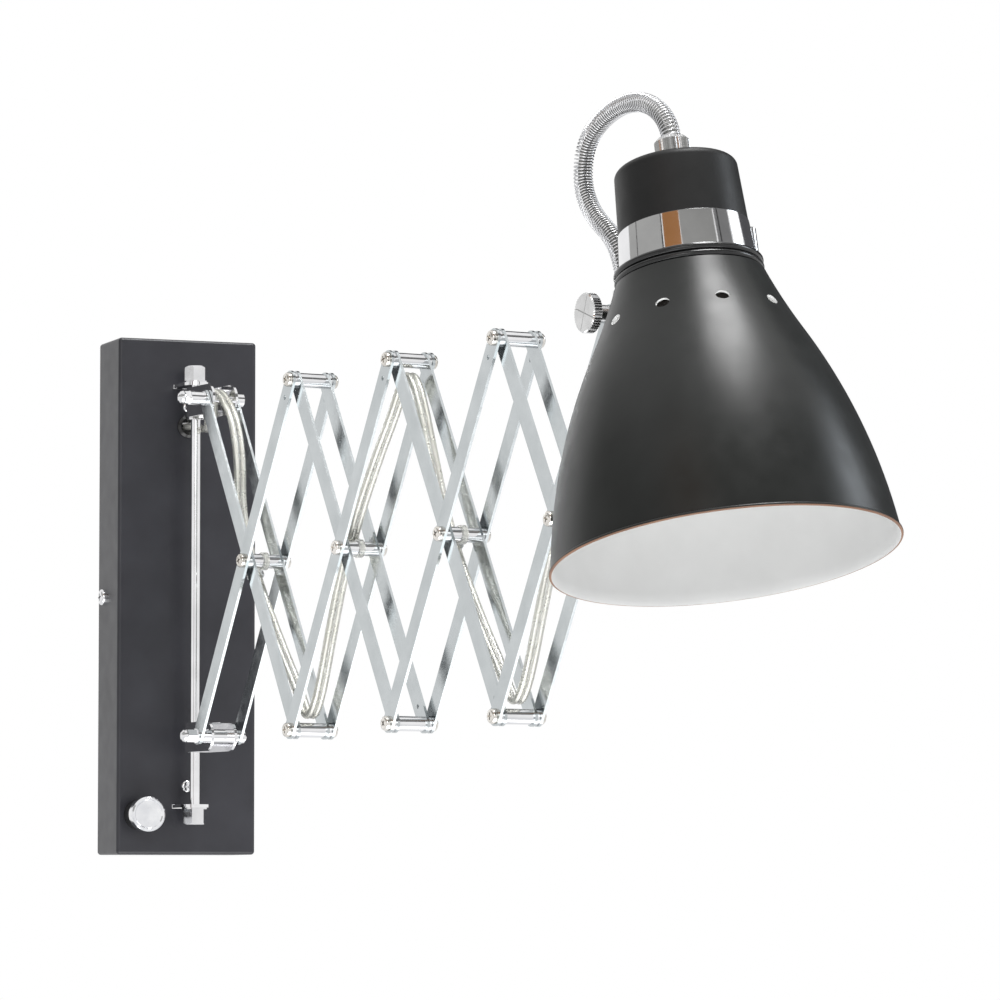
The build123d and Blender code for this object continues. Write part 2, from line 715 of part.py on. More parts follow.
BRIDGE_Z = (CAP_FOOT + BAND_FOOT) / 2 + 0.25


def bridge_hole(r):
    return Pos(0, r, BRIDGE_Z) * Rot(90, 0, 0) * Cylinder(SCREW_R + RUN_R, 12)


def socket_cap():
    """Black cap whose skirt runs down inside the band."""
    skirt_r = BAND_TOP_R - CAP_WALL - FACE_GAP
    cap = turned([(0, CAP_TOP), (CAP_TOP_R, CAP_TOP), (CAP_FOOT_R, CAP_FOOT), (skirt_r, CAP_FOOT),
                  (skirt_r, BAND_FOOT + 1), (skirt_r - CAP_WALL, BAND_FOOT + 1),
                  (skirt_r - CAP_WALL, CAP_TOP - CAP_WALL - 2), (skirt_r - CAP_WALL - 2, CAP_TOP - CAP_WALL),
                  (0, CAP_TOP - CAP_WALL)])
    edge = [e for e in cap.edges().filter_by(GeomType.CIRCLE) if abs(e.center().Z - CAP_TOP) < 0.01]
    cap = fillet(edge, CAP_EDGE_R)
    cap -= bridge_hole(BAND_TOP_R)
    return cap - Pos(0, 0, CAP_TOP) * Cylinder(HOSE_R + 0.1, 4 * CAP_WALL)


def clamp_band():
    """Bright band round the cap's foot, with the pull-up lug of its joint."""
    inner = BAND_TOP_R - CAP_WALL
    band = turned([(inner, CAP_FOOT), (BAND_TOP_R, CAP_FOOT), (BAND_FOOT_R, BAND_FOOT),
                   (inner, BAND_FOOT)])
    lug_angle = radians(-22.0)
    lug_r = BAND_TOP_R - 0.6
    lug = Pos(lug_r * cos(lug_angle), lug_r * sin(lug_angle), (CAP_FOOT + BAND_FOOT) / 2 - 0.7)
    lug *= Cylinder(4.0, CAP_FOOT - BAND_FOOT - 1.4)
    band += lug - Cylinder(inner, 4 * CAP_FOOT)
    return band - bridge_hole(BAND_TOP_R)


def collar_ring():
    """Black double bead between the band and the shade."""
    groove = BEAD_R - 1.3
    step = (BAND_FOOT - BEAD_FOOT) / 2
    inner = HOLDER_R + 4.0
    outline = [(inner, BAND_FOOT)]
    for i in range(2):
        high = BAND_FOOT - i * step
        outline += [(groove, high), (BEAD_R, high - 0.3 * step), (BEAD_R, high - 0.7 * step)]
    outline += [(groove, BEAD_FOOT), (inner, BEAD_FOOT)]
    return turned(outline)


SHADE_TOP = BEAD_FOOT - 0.6
SHADE_WAIST = (52.0, -1.0)
SHADE_SLOPE = 0.53
SHADE_SPANS = 7


def shade_arc(end, gap, spans):
    """Points along the arc from the waist to an end of the shade, moved inwards by a gap."""
    waist = Vector(SHADE_WAIST[0], 0, SHADE_WAIST[1])
    outward = Vector(1, 0, SHADE_SLOPE).normalized()
    chord = end - waist
    radius = chord.length ** 2 / (2 * outward.dot(chord))
    centre = waist + outward * radius
    points = []
    for i in range(spans + 1):
        spoke = (waist + chord * (i / spans) - centre).normalized() * abs(radius)
        points.append(centre + spoke * (1 + gap / radius))
    return [(p.X, p.Z) for p in points]


def shade():
    """Spun bell, open below, with a ring of vents near its top."""
    top_edge = Vector(SHADE_TOP_R, 0, SHADE_TOP)
    rim = Vector(SHADE_RIM_R, 0, -SHADE_RIM)
    outside = shade_arc(top_edge, 0, 2)[:0:-1] + shade_arc(rim, 0, SHADE_SPANS)
    inside = shade_arc(top_edge, SHADE_WALL, 2)[:0:-1] + shade_arc(rim, SHADE_WALL, SHADE_SPANS)
    neck = HOLDER_R + 0.2
    lip_r = SHADE_RIM_R + SHADE_LIP_R
    lip = [(lip_r, -SHADE_RIM - 0.4), (lip_r, -SHADE_RIM - 1.8), (inside[-1][0], inside[-1][1] - 2.0)]
    floor = [(neck, inside[0][1]), (neck, SHADE_TOP)]
    solid = turned(outside + lip + inside[::-1] + floor)
    fall = (SHADE_WAIST[0] - SHADE_TOP_R) / (SHADE_TOP - SHADE_WAIST[1])
    punch = extrude(RegularPolygon(VENT_R, 10), amount=5, both=True)
    punch = Rot(0, 90 - degrees(atan2(fall, 1)), 0) * punch
    vent_r = SHADE_TOP_R + fall * (SHADE_TOP - VENT_AT)
    cuts = []
    for i in range(VENT_COUNT):
        cuts.append(Rot(0, 0, 360 / VENT_COUNT * (i + 0.5)) * Pos(vent_r, 0, VENT_AT) * punch)
    return solid - cuts


def lampholder():
    """Screw-cap lampholder with the ring that clamps the shade."""
    ring_top = SHADE_TOP - SHADE_WALL - 0.15
    bore_top = HOLDER_MOUTH + HOLDER_BORE_DEPTH
    body = turned([(0, HOLDER_TOP + 8), (15.0, HOLDER_TOP + 8), (15.0, HOLDER_TOP),
                   (HOLDER_R - 1.5, HOLDER_TOP), (HOLDER_R, HOLDER_TOP - 1.5), (HOLDER_R, ring_top),
                   (HOLDER_RING_R, ring_top), (HOLDER_RING_R, ring_top - 3.0), (HOLDER_R, ring_top - 3.0),
                   (HOLDER_R, HOLDER_MOUTH + 1.0), (HOLDER_R - 1.0, HOLDER_MOUTH),
                   (HOLDER_BORE_R, HOLDER_MOUTH), (HOLDER_BORE_R, bore_top), (0, bore_top)])
    return body


def hose_gland():
    """Fluted nut on the cap that grips the hose."""
    nut = Pos(0, 0, CAP_TOP) * extrude(fluted(GLAND_R, 0.5, GLAND_FLUTES), amount=GLAND_H)
    r = GLAND_R
    blank = turned([(0, CAP_TOP), (r, CAP_TOP), (r, CAP_TOP + GLAND_H - 1.6),
                    (r - 2.0, CAP_TOP + GLAND_H), (0, CAP_TOP + GLAND_H)])
    stem = Pos(0, 0, CAP_TOP - 2.0) * Cylinder(HOSE_R, 8.0)
    bore = Pos(0, 0, CAP_TOP) * Cylinder(HOSE_BORE_R, 4 * GLAND_H)
    return (nut & blank) + stem - bore


def head_to_arm(out, up):
    """Point at an offset from the tilt pivot, in the arm's own frame."""
    return (0, -(TIP[0] + out), TIP[1] + up)


def hose_path():
    """Centre line of the hose: out of the gland, over, down behind the cap and into its ferrule."""
    tilt = radians(HEAD_TILT)
    gland_top = CAP_TOP + GLAND_H
    out = HEAD_AT[0] - gland_top * sin(tilt)
    up = HEAD_AT[1] + gland_top * cos(tilt)
    heading = 90.0 + HEAD_TILT
    bends = [(20.0, 46.0), (64.0, 31.0), (58.0, 26.0), (29.0, 64.0), (25.0, 56.5)]
    edges = []
    at = (out, up)

    def run(length):
        nonlocal at
        end = (at[0] + length * cos(radians(heading)), at[1] + length * sin(radians(heading)))
        edges.append(Line(head_to_arm(*at), head_to_arm(*end)))
        at = end

    def bend(radius, turn):
        nonlocal at, heading
        centre = (at[0] - radius * sin(radians(heading)), at[1] + radius * cos(radians(heading)))
        points = []
        for share in (0.5, 1.0):
            a = radians(heading + share * turn)
            points.append((centre[0] + radius * sin(a), centre[1] - radius * cos(a)))
        edges.append(ThreePointArc(head_to_arm(*at), head_to_arm(*points[0]), head_to_arm(*points[1])))
        at = points[1]
        heading += turn

    run(1.5)
    for radius, turn in bends:
        bend(radius, turn)
    last_turn = heading - 270.0
    last_r = 16.0
    slope = radians(heading - 360.0)
    reach = last_r * tan(radians(last_turn) / 2)
    corner_run = (FERRULE_AT[0] - at[0]) / cos(slope)
    run(corner_run - reach)
    centre_side = (at[0] + last_r * sin(radians(heading)), at[1] - last_r * cos(radians(heading)))
    points = []
    for share in (0.5, 1.0):
        a = radians(heading - share * last_turn)
        points.append((centre_side[0] - last_r * sin(a), centre_side[1] + last_r * cos(a)))
    edges.append(ThreePointArc(head_to_arm(*at), head_to_arm(*points[0]), head_to_arm(*points[1])))
    at = points[1]
    heading = 270.0
    run(at[1] - FERRULE_AT[1] - FERRULE_H)
    return Wire(edges)


def hose_ferrule():
    out, up = FERRULE_AT
    body = turned([(0, FERRULE_H), (FERRULE_R - 0.6, FERRULE_H), (FERRULE_R, FERRULE_H - 0.6),
                   (FERRULE_R, 0), (0, 0)])
    body -= Box(LEAD_W, LEAD_T, 4 * FERRULE_H)
    return Pos(*head_to_arm(out, up)) * body


def bridge_screw():
    """Screw through the bracket's bridge into the band."""
    seat = BAND_FOOT_R + 0.05 + BAR_T
    screw = domed_head(SCREW_HEAD_R, SCREW_HEAD_H, SCREW_R, 7.0)
    return Pos(0, seat, BRIDGE_Z) * Rot(-90, 0, 0) * screw


def thumb_screw():
    """Tilt screw with a fluted disc, on the near side."""
    shank = disc(SCREW_R, -HEAD_X, -2.0, TIP)
    collar = disc(THUMB_COLLAR_R, -THUMB_COLLAR_END, -HEAD_X, TIP)
    sketch = Pos(*TIP) * fluted(THUMB_DISC_R, 0.5, THUMB_FLUTES)
    head = slab(sketch, -THUMB_COLLAR_END - THUMB_DISC_T, -THUMB_COLLAR_END)
    return shank + collar + head


# ---------------------------------------------------------------- every node
def build():
    os.makedirs("parts", exist_ok=True)
    save("wall_cover", [wall_cover()])
    save("mounting_bracket", [mounting_bracket()])
    save("cover_screws", cover_screws())
    save("upper_tab", [rod_tab(1)])
    save("lower_tab", [rod_tab(-1)])
    save("tab_screws", tab_screws())
    save("swing_rod", [swing_rod()])
    save("rod_nuts", rod_nuts())
    save("retaining_clip", [retaining_clip()])
    save("dimmer_body", [dimmer_body()])
    save("dimmer_nut", [dimmer_nut()])
    save("dimmer_spindle", [dimmer_spindle()])
    save("knob_body", [knob_body()])
    save("knob_cap", [knob_cap()])
    save("terminal_block", [terminal_block()])
    save("lead_bushing", [lead_bushing()])
    save("supply_lead", [supply_lead()])

    save("upper_clevis", [clevis(top(0))], ARM)
    save("upper_bolt", [clevis_bolt(TOP_HEX_END, UPPER_FAR_SEAT, top(0))], ARM)
    save("upper_collars", upper_collars(), ARM)
    save("upper_cap_nut", [cap_nut(TOP_COLLAR_END, TOP_HEX_END, top(0), -1, TOP_HEX_END + 0.4)], ARM)
    save("bracket_lead", [bracket_lead()], ARM)
    save("lower_clevis", [clevis(low(0))], ARM)
    save("lower_bolt", [clevis_bolt(LOW_HEX_END, HEAD_X + 1.0, low(0))], ARM)
    save("lower_collars", lower_collars(), ARM)
    save("lower_cap_nut", [cap_nut(HEAD_X + 1.0, LOW_HEX_END, low(0), -1, LOW_HEX_END + 0.4)], ARM)

    for i in range(1, STAGES + 1):
        points = pivots_of(i)
        save(f"falling_bars_{i}", falling_bars(i), ARM)
        save(f"falling_spacers_{i}", spacers(points), ARM)
        save(f"falling_screws_{i}", [pan_screw(at, s) for at in points for s in (-1, 1)], ARM)
        save(f"rising_bars_{i}", rising_bars(i), ARM)

    end = BAR_SPAN - V_REACH
    first = [(-2.0, 6.9), (14.5, 9.8), (29.0, 9.4), (48.0, 3.6), (68.0, -8.4), (95.0, -13.4),
             (125.0, -12.0), (165.0, -6.5), (195.0, -0.8), (end, 0)]
    third = [(V_REACH, 0), (30.0, -0.6), (60.0, -5.5), (90.0, -9.6), (125.0, -10.2), (165.0, -6.0),
             (195.0, -0.8), (end, 0)]
    save("falling_lead_1", strand(top(0), FALL, 1, first, LEAD_TURN), ARM)
    save("falling_lead_3", strand(top(2), FALL, 1, third, LEAD_TURN), ARM)
    second = [(V_REACH, 0), (30.0, -0.6), (60.0, -5.5), (90.0, -9.6), (125.0, -10.2), (165.0, -6.0),
              (195.0, -0.8), (end, 0)]
    fourth = [(V_REACH, 0), (30.0, -0.6), (60.0, -5.5), (90.0, -9.6), (125.0, -10.6), (165.0, -9.8),
              (204.0, -8.6)]
    save("rising_lead_2", strand(low(1), RISE, -1, second, -LEAD_TURN), ARM)
    save("rising_lead_4", strand(low(3), RISE, -1, fourth), ARM)

    save("head_bracket", [head_bracket()], HEAD)
    save("tilt_spacers", spacers([TIP]), ARM)
    save("tilt_screw", [pan_screw(TIP, 1)], ARM)
    save("clamp_band", [clamp_band()], HEAD)
    save("bridge_screw", [bridge_screw()], HEAD)
    save("socket_cap", [socket_cap()], HEAD)
    save("collar_ring", [collar_ring()], HEAD)
    save("shade", [shade()], HEAD)
    save("lampholder", [lampholder()], HEAD)
    save("hose_gland", [hose_gland()], HEAD)
    save("spring_hose", [swept(hose_path(), Circle(HOSE_R))], ARM)
    save("hose_ferrule", [hose_ferrule()], ARM)
    save("thumb_screw", [thumb_screw()], ARM)


build()
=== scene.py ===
import bpy
import json
from math import atan2, cos, pi, radians, sin, tan
from mathutils import Matrix, Vector


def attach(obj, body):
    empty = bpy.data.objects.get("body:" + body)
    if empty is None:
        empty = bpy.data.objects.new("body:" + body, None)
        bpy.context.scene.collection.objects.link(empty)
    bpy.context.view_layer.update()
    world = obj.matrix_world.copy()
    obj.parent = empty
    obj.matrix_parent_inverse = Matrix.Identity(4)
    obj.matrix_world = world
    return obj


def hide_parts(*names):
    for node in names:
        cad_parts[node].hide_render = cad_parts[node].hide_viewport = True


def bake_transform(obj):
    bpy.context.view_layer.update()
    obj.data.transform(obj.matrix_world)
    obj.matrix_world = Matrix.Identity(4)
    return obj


# Accordion wall lamp. Everything is in metres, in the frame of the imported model: the wall is the
# plane y = 0, +X runs right along it, -Y comes out of it and +Z is up.

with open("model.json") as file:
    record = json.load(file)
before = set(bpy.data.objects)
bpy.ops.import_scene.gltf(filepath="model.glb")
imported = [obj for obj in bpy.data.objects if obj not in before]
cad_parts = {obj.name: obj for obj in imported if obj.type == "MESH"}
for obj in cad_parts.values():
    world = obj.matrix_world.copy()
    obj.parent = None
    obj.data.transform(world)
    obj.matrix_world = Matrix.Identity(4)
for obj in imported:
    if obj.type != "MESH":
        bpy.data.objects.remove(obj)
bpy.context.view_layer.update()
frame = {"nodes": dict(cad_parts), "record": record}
NODES = frame["nodes"]
RECORD = frame["record"]
SLOT_OF = {row["node"]: row["material_slot"] for row in RECORD["subparts"]}
MM = 0.001

# ---------------------------------------------------------------- sizes, in millimetres and degrees
ROD_Y = 53.0
SWING_REST = 8.0
BAR_SPAN = 225.0
FOLD_REST = 30.5
TOP_Z = 111.0
REACH = 30.0
STAGES = 4
SPACER_R = 4.0
HEAD_X = 13.35
SCREW_R = 1.95
SCREW_HEAD_R = 4.0
SCREW_HEAD_H = 2.6
SCREW_DEPTH = 4.25
SCREW_RECESS = 1.9
SCREW_TURN = 20.0
SCREW_TURN_STEP = 37.0
SIDE_SCREW_HEAD = (4.75, 3.0)
SIDE_SCREW_SHANK = 8.0
SIDE_SCREW_RECESS = 2.2
SIDE_SCREW_Y = -11.0
TAB_SCREW_HEAD = (3.6, 2.4)
TAB_SCREW_SHANK = 5.0
TAB_SCREW_RECESS = 1.7
TAB_SCREW_Z = 110.5
BRIDGE_SCREW_SHANK = 7.0
BRIDGE_SCREW_OUT = 1.55
BRIDGE_SCREW_UP = 0.25
LEAD_W = 7.4
LEAD_T = 3.8
LEAD_SHEATH = 0.75
LEAD_STEP = 1.2
CORE_R = LEAD_T / 2 - LEAD_SHEATH
CORE_X = (LEAD_W - LEAD_T) / 2
LEAD_BEND_R = 8.35
BUSHING_Z = 99.0
COVER_W = 84.0
COVER_D = 38.0
TIE_W = 3.0
TIE_T = 0.9
TIE_GAP = 0.15
TIE_CORNER = 0.8

# lamp head, measured along its own axis
HEAD_AT = (62.0, -21.0)
HEAD_TILT = 13.0
CAP_TOP = 92.0
CAP_TOP_R = 30.3
CAP_EDGE_R = 4.0
CAP_FOOT = 59.0
CAP_FOOT_R = 31.9
CAP_WALL = 1.5
CAP_GAP = 0.1
BAND_FOOT = 40.5
BAND_FOOT_R = 33.7
BAND_TOP_R = 32.2
BAND_WALL = 1.5
BAND_EDGE = 0.3
LUG_R = 4.0
LUG_EDGE = 0.4
LUG_ANGLE = -22.0
LUG_SINK = 0.6
LUG_SHORT = 1.4
BEAD_R = 1.72
BEAD_RING_R = 34.9
BEAD_INNER_R = 24.0
BEAD_DROP = 1.73
BEAD_PITCH = 3.42
BEAD_FOOT = 34.0
SHADE_TOP_R = 36.5
SHADE_TOP = 33.4
SHADE_WAIST = (52.0, -1.0)
SHADE_SLOPE = 0.53
SHADE_RIM_R = 84.0
SHADE_RIM = 104.6
SHADE_WALL = 1.2
SHADE_NECK_R = 20.0
RIM_BEAD_R = 0.9
RIM_BEAD_OUT = 0.1
RIM_BEAD_DROP = 1.0
VENT_R = 3.5
VENT_COUNT = 10
VENT_AT = 10.0
VENT_PHASE = 0.07
VENT_SQUASH = 0.76
HOLDER_R = 19.8
HOLDER_TOP = 72.0
HOLDER_MOUTH = 20.0
HOLDER_BORE_R = 13.35
HOLDER_BORE_DEPTH = 29.0
HOLDER_NECK_R = 15.0
HOLDER_NECK_H = 8.0
# The holder's ring reaches out to fill the shade's top from beneath: a dark sheet standing in for the shadow
# seen through the vents.
HOLDER_RING_PAINTED_SHADOW_R = 34.0
HOLDER_RING_H = 3.0
HOLDER_RING_EDGE = 0.6
HOLDER_RING_GAP = 0.15
SHELL_ROOM = 0.9
SHELL_WALL = 0.3
SHELL_FOOT = 1.5
SHELL_SHORT = 2.0
THREAD_PITCH = 3.6
THREAD_DEPTH = 0.35
CONTACT_R = 4.0
GLAND_R = 8.75
GLAND_H = 14.7
GLAND_KNURL = 0.45
GLAND_RIDGES = 36
HOSE_R = 5.0
SPRING_WIRE_R = 0.4
SPRING_PITCH = 1.8
HOSE_LEAD_SHIFT = 1.7
HOSE_RUN_IN = 0.12
HOSE_STEP = 0.9
TERMINAL_X = 22.0
THUMB_SHANK_END = 2.0
THUMB_COLLAR_R = 4.5
THUMB_COLLAR_END = 22.0
THUMB_DISC_R = 10.0
THUMB_DISC_T = 5.3
THUMB_KNURL = 0.5
THUMB_RIDGES = 44

# camera, at the photograph's viewing angle
FOCAL_SHARE = 4.8
SENSOR = 36.0
AIM = (0.0, -150.0, 0.0)
AIM_IN_VIEW = (-140.52, -47.39, 2690.15)
AZIMUTH = -21.745
ELEVATION = -4.693
ROLL = -0.092

STEP_D = BAR_SPAN * sin(radians(FOLD_REST))
STEP_Z = BAR_SPAN * cos(radians(FOLD_REST))
FALL = (sin(radians(FOLD_REST)), -cos(radians(FOLD_REST)))
RISE = (sin(radians(FOLD_REST)), cos(radians(FOLD_REST)))


def top(i):
    """Pivot i of the top row, as (distance out from the rod, height)."""
    return (REACH + i * STEP_D, TOP_Z)


def low(i):
    """Pivot i of the bottom row."""
    return (REACH + i * STEP_D, TOP_Z - STEP_Z)


def mid(i):
    """Crossing of pairs i."""
    return (REACH + (i - 0.5) * STEP_D, TOP_Z - STEP_Z / 2)


TIP = top(STAGES)
ARM = Matrix.Translation((0, -ROD_Y, 0)) @ Matrix.Rotation(radians(SWING_REST), 4, "Z")
HEAD_PLACE = Matrix.Translation((0, -(TIP[0] + HEAD_AT[0]), TIP[1] + HEAD_AT[1]))
HEAD = ARM @ HEAD_PLACE @ Matrix.Rotation(radians(-HEAD_TILT), 4, "X")
ACROSS_ARM = (ARM.to_3x3() @ Vector((1, 0, 0))).normalized()


def in_arm(out, up, x=0.0):
    """Point of the arm's own frame, in millimetres of the row frame."""
    return ARM @ Vector((x, -out, up))


def at_pivot(at, side):
    """Frame at a pivot whose Z axis points out along the pivot, to side -1 or +1."""
    turn = Matrix.Rotation(radians(90 * side), 4, "Y")
    return ARM @ Matrix.Translation((0, -at[0], at[1])) @ turn


# ---------------------------------------------------------------- materials
def shader(name):
    """A new material, its tree, its Principled shader and its object coordinates."""
    material = bpy.data.materials.new(name)
    material.use_nodes = True
    tree = material.node_tree
    principled = tree.nodes["Principled BSDF"]
    coords = tree.nodes.new("ShaderNodeTexCoord").outputs["Object"]
    return material, tree, principled, coords


def noise(tree, coords, scale, detail=3.0, stretch=(1, 1, 1)):
    """Noise value; scale counts lumps per metre."""
    mapping = tree.nodes.new("ShaderNodeMapping")
    mapping.inputs["Scale"].default_value = stretch
    tree.links.new(coords, mapping.inputs["Vector"])
    texture = tree.nodes.new("ShaderNodeTexNoise")
    texture.inputs["Scale"].default_value = scale
    texture.inputs["Detail"].default_value = detail
    tree.links.new(mapping.outputs["Vector"], texture.inputs["Vector"])
    return texture.outputs["Fac"]


def spread(tree, value, low_end, high_end):
    """The value's middle half mapped onto low_end..high_end."""
    node = tree.nodes.new("ShaderNodeMapRange")
    node.inputs["From Min"].default_value = 0.3
    node.inputs["From Max"].default_value = 0.7
    node.inputs["To Min"].default_value = low_end
    node.inputs["To Max"].default_value = high_end
    tree.links.new(value, node.inputs["Value"])
    return node.outputs["Result"]


def tint(tree, value, dark, light):
    """Colour between two by a noise value."""
    ramp = tree.nodes.new("ShaderNodeValToRGB")
    ramp.color_ramp.elements[0].position = 0.3
    ramp.color_ramp.elements[0].color = (*dark, 1)
    ramp.color_ramp.elements[1].position = 0.7
    ramp.color_ramp.elements[1].color = (*light, 1)
    tree.links.new(value, ramp.inputs["Fac"])
    return ramp.outputs["Color"]


def bump(tree, principled, value, distance, strength):
    """Relief by a noise value; the distance is in metres."""
    node = tree.nodes.new("ShaderNodeBump")
    node.inputs["Distance"].default_value = distance
    node.inputs["Strength"].default_value = strength
    tree.links.new(value, node.inputs["Height"])
    tree.links.new(node.outputs["Normal"], principled.inputs["Normal"])


def dress(tree, principled, colour, roughness):
    """Colour and roughness of a surface, both from nodes."""
    tree.links.new(colour, principled.inputs["Base Color"])
    tree.links.new(roughness, principled.inputs["Roughness"])


def powder_coat(name, dark, light, rough, shine=0.5):
    """Satin powder coat: a fine orange peel and a slight unevenness of colour."""
    material, tree, principled, coords = shader(name)
    cloudy = tint(tree, noise(tree, coords, scale=35.0), dark, light)
    uneven = spread(tree, noise(tree, coords, scale=90.0), rough - 0.03, rough + 0.03)
    dress(tree, principled, cloudy, uneven)
    principled.inputs["Specular IOR Level"].default_value = shine
    peel = noise(tree, coords, scale=1800.0, detail=2.0)
    bump(tree, principled, peel, distance=0.00003, strength=0.6)
    return material


def bright_metal(name, dark, light, rough, stretch=(1, 1, 1), grain=700.0, depth=0.000004):
    """Plated or polished metal with faint handling marks."""
    material, tree, principled, coords = shader(name)
    principled.inputs["Metallic"].default_value = 1.0
    cloudy = tint(tree, noise(tree, coords, scale=60.0), dark, light)
    handled = spread(tree, noise(tree, coords, scale=220.0, detail=4.0), rough * 0.75, rough * 1.25)
    dress(tree, principled, cloudy, handled)
    marks = noise(tree, coords, scale=grain, detail=3.0, stretch=stretch)
    bump(tree, principled, marks, distance=depth, strength=0.5)
    return material


def plastic(name, dark, light, rough):
    """Moulded plastic or glaze with a fine skin."""
    material, tree, principled, coords = shader(name)
    cloudy = tint(tree, noise(tree, coords, scale=120.0), dark, light)
    uneven = spread(tree, noise(tree, coords, scale=260.0), rough - 0.04, rough + 0.04)
    dress(tree, principled, cloudy, uneven)
    fine = noise(tree, coords, scale=2400.0, detail=2.0)
    bump(tree, principled, fine, distance=0.00001, strength=0.4)
    return material


def clear_sheath(name, clearness, rough):
    """Clear flexible sheath, a little yellow, with a slightly uneven skin."""
    material, tree, principled, coords = shader(name)
    yellowed = tint(tree, noise(tree, coords, scale=40.0), (0.90, 0.90, 0.84), (0.97, 0.97, 0.94))
    rubbed = spread(tree, noise(tree, coords, scale=150.0), rough, rough + 0.14)
    dress(tree, principled, yellowed, rubbed)
    principled.inputs["Transmission Weight"].default_value = clearness
    principled.inputs["IOR"].default_value = 1.42
    uneven = noise(tree, coords, scale=900.0, detail=2.0)
    bump(tree, principled, uneven, distance=0.00006, strength=0.5)
    return material


COVER_BLACK = powder_coat("cover_black", (0.018, 0.018, 0.023), (0.029, 0.029, 0.036), 0.40)
SHADE_BLACK = powder_coat("shade_black", (0.011, 0.012, 0.011), (0.017, 0.018, 0.017), 0.33, 0.36)
CAP_BLACK = powder_coat("cap_black", (0.008, 0.008, 0.008), (0.013, 0.013, 0.013), 0.46, 0.3)
SHADE_WHITE = powder_coat("shade_white", (0.80, 0.80, 0.79), (0.86, 0.86, 0.85), 0.55)
RIM_COPPER = powder_coat("rim_edge", (0.20, 0.10, 0.06), (0.32, 0.17, 0.10), 0.5)
CHROME = bright_metal("bright_chrome", (0.74, 0.74, 0.75), (0.85, 0.85, 0.86), 0.07)
BAR_CHROME = bright_metal("bar_chrome", (0.50, 0.53, 0.54), (0.57, 0.60, 0.61), 0.17,
                          stretch=(1, 1, 0.08), grain=900.0)
TURNED = bright_metal("turned_steel", (0.58, 0.58, 0.58), (0.72, 0.72, 0.72), 0.22,
                      grain=1500.0, depth=0.000008)
SPRING = bright_metal("spring_wire", (0.62, 0.62, 0.63), (0.80, 0.80, 0.81), 0.2)
NUT_PLATE = bright_metal("nut_plate", (0.62, 0.62, 0.63), (0.78, 0.78, 0.79), 0.14,
                         grain=500.0, depth=0.00002)
DISHED = bright_metal("dished_chrome", (0.66, 0.67, 0.70), (0.98, 0.98, 0.98), 0.12,
                      grain=420.0, depth=0.00011)
BRASS = bright_metal("brass_shell", (0.26, 0.19, 0.09), (0.40, 0.30, 0.15), 0.36)
ZINC = bright_metal("zinc_steel", (0.50, 0.51, 0.52), (0.66, 0.67, 0.68), 0.34,
                    grain=300.0, depth=0.00001)
WARM = bright_metal("screw_plate", (0.62, 0.59, 0.54), (0.84, 0.81, 0.77), 0.13)
STRANDS = bright_metal("tinned_strands", (0.76, 0.75, 0.71), (0.92, 0.91, 0.88), 0.30)
# The holder is black and very matte; with its widened ring it also paints the shadow seen through the vents.
HOLDER_BLACK_AND_SHADOW = powder_coat("holder_black_and_shadow", (0.006, 0.005, 0.004), (0.010, 0.009, 0.008), 0.8, 0.04)
BLACK_PLASTIC = plastic("black_plastic", (0.010, 0.010, 0.010), (0.017, 0.017, 0.017), 0.2)
CERAMIC = plastic("holder_white", (0.78, 0.77, 0.73), (0.86, 0.85, 0.82), 0.2)
CLEAR = clear_sheath("clear_sheath", 0.82, 0.12)
# The lead inside the spring is the same clear lead, coloured dark grey here: painted shadow inside the coil,
# so that the gaps between turns read dark.
LEAD_IN_PAINTED_SHADOW = plastic("hose_lead_painted_shadow", (0.22, 0.22, 0.21), (0.30, 0.30, 0.28), 0.35)
OWN_FINISH = {"knob_cap": DISHED, "rod_nuts": NUT_PLATE}
FINISH = {
    "cover_black": COVER_BLACK, "shade_black": SHADE_BLACK, "cap_black": CAP_BLACK,
    "bright_chrome": CHROME, "bar_chrome": BAR_CHROME, "turned_steel": TURNED,
    "zinc_steel": ZINC, "black_plastic": BLACK_PLASTIC, "holder_white": CERAMIC,
    "clear_lead": CLEAR,
}

for node_name, node in NODES.items():
    for holder in node.material_slots:
        holder.material = OWN_FINISH.get(node_name, FINISH[SLOT_OF[node_name]])


# ---------------------------------------------------------------- mesh helpers
SHARP = 35.0
POLE_R = 0.02


def new_piece(name, points, faces, materials, indexes=None, sharp=SHARP):
    """Mesh object from points in millimetres of the row frame."""
    mesh = bpy.data.meshes.new(name)
    mesh.from_pydata([Vector(p) * MM for p in points], [], faces)
    for material in materials:
        mesh.materials.append(material)
    if indexes:
        for polygon, index in zip(mesh.polygons, indexes):
            polygon.material_index = index
    mesh.validate()
    mesh.shade_smooth()
    mesh.set_sharp_from_angle(angle=radians(sharp))
    piece = bpy.data.objects.new(name, mesh)
    bpy.context.scene.collection.objects.link(piece)
    return piece


def skin(rings, closed=False):
    """Points and faces through rings of equal count; closed joins last to first, open fills its ends."""
    count = len(rings[0])
    points = [p for ring in rings for p in ring]
    faces = []
    pairs = len(rings) if closed else len(rings) - 1
    for i in range(pairs):
        a = i * count
        b = (i + 1) % len(rings) * count
        for k in range(count):
            j = (k + 1) % count
            faces.append((a + k, a + j, b + j, b + k))
    if not closed:
        faces.append(tuple(range(count))[::-1])
        faces.append(tuple(range(len(points) - count, len(points))))
    return points, faces


def lathe(outline, place, segments=64, closed=False):
    """Turned form from (radius, height) points; radius 0 at an end is closed by a cap."""
    rings = []
    for r, z in outline:
        r = max(r, POLE_R)
        ring = []
        for k in range(segments):
            a = 2 * pi * k / segments
            ring.append(place @ Vector((r * cos(a), r * sin(a), z)))
        rings.append(ring)
    return skin(rings, closed)


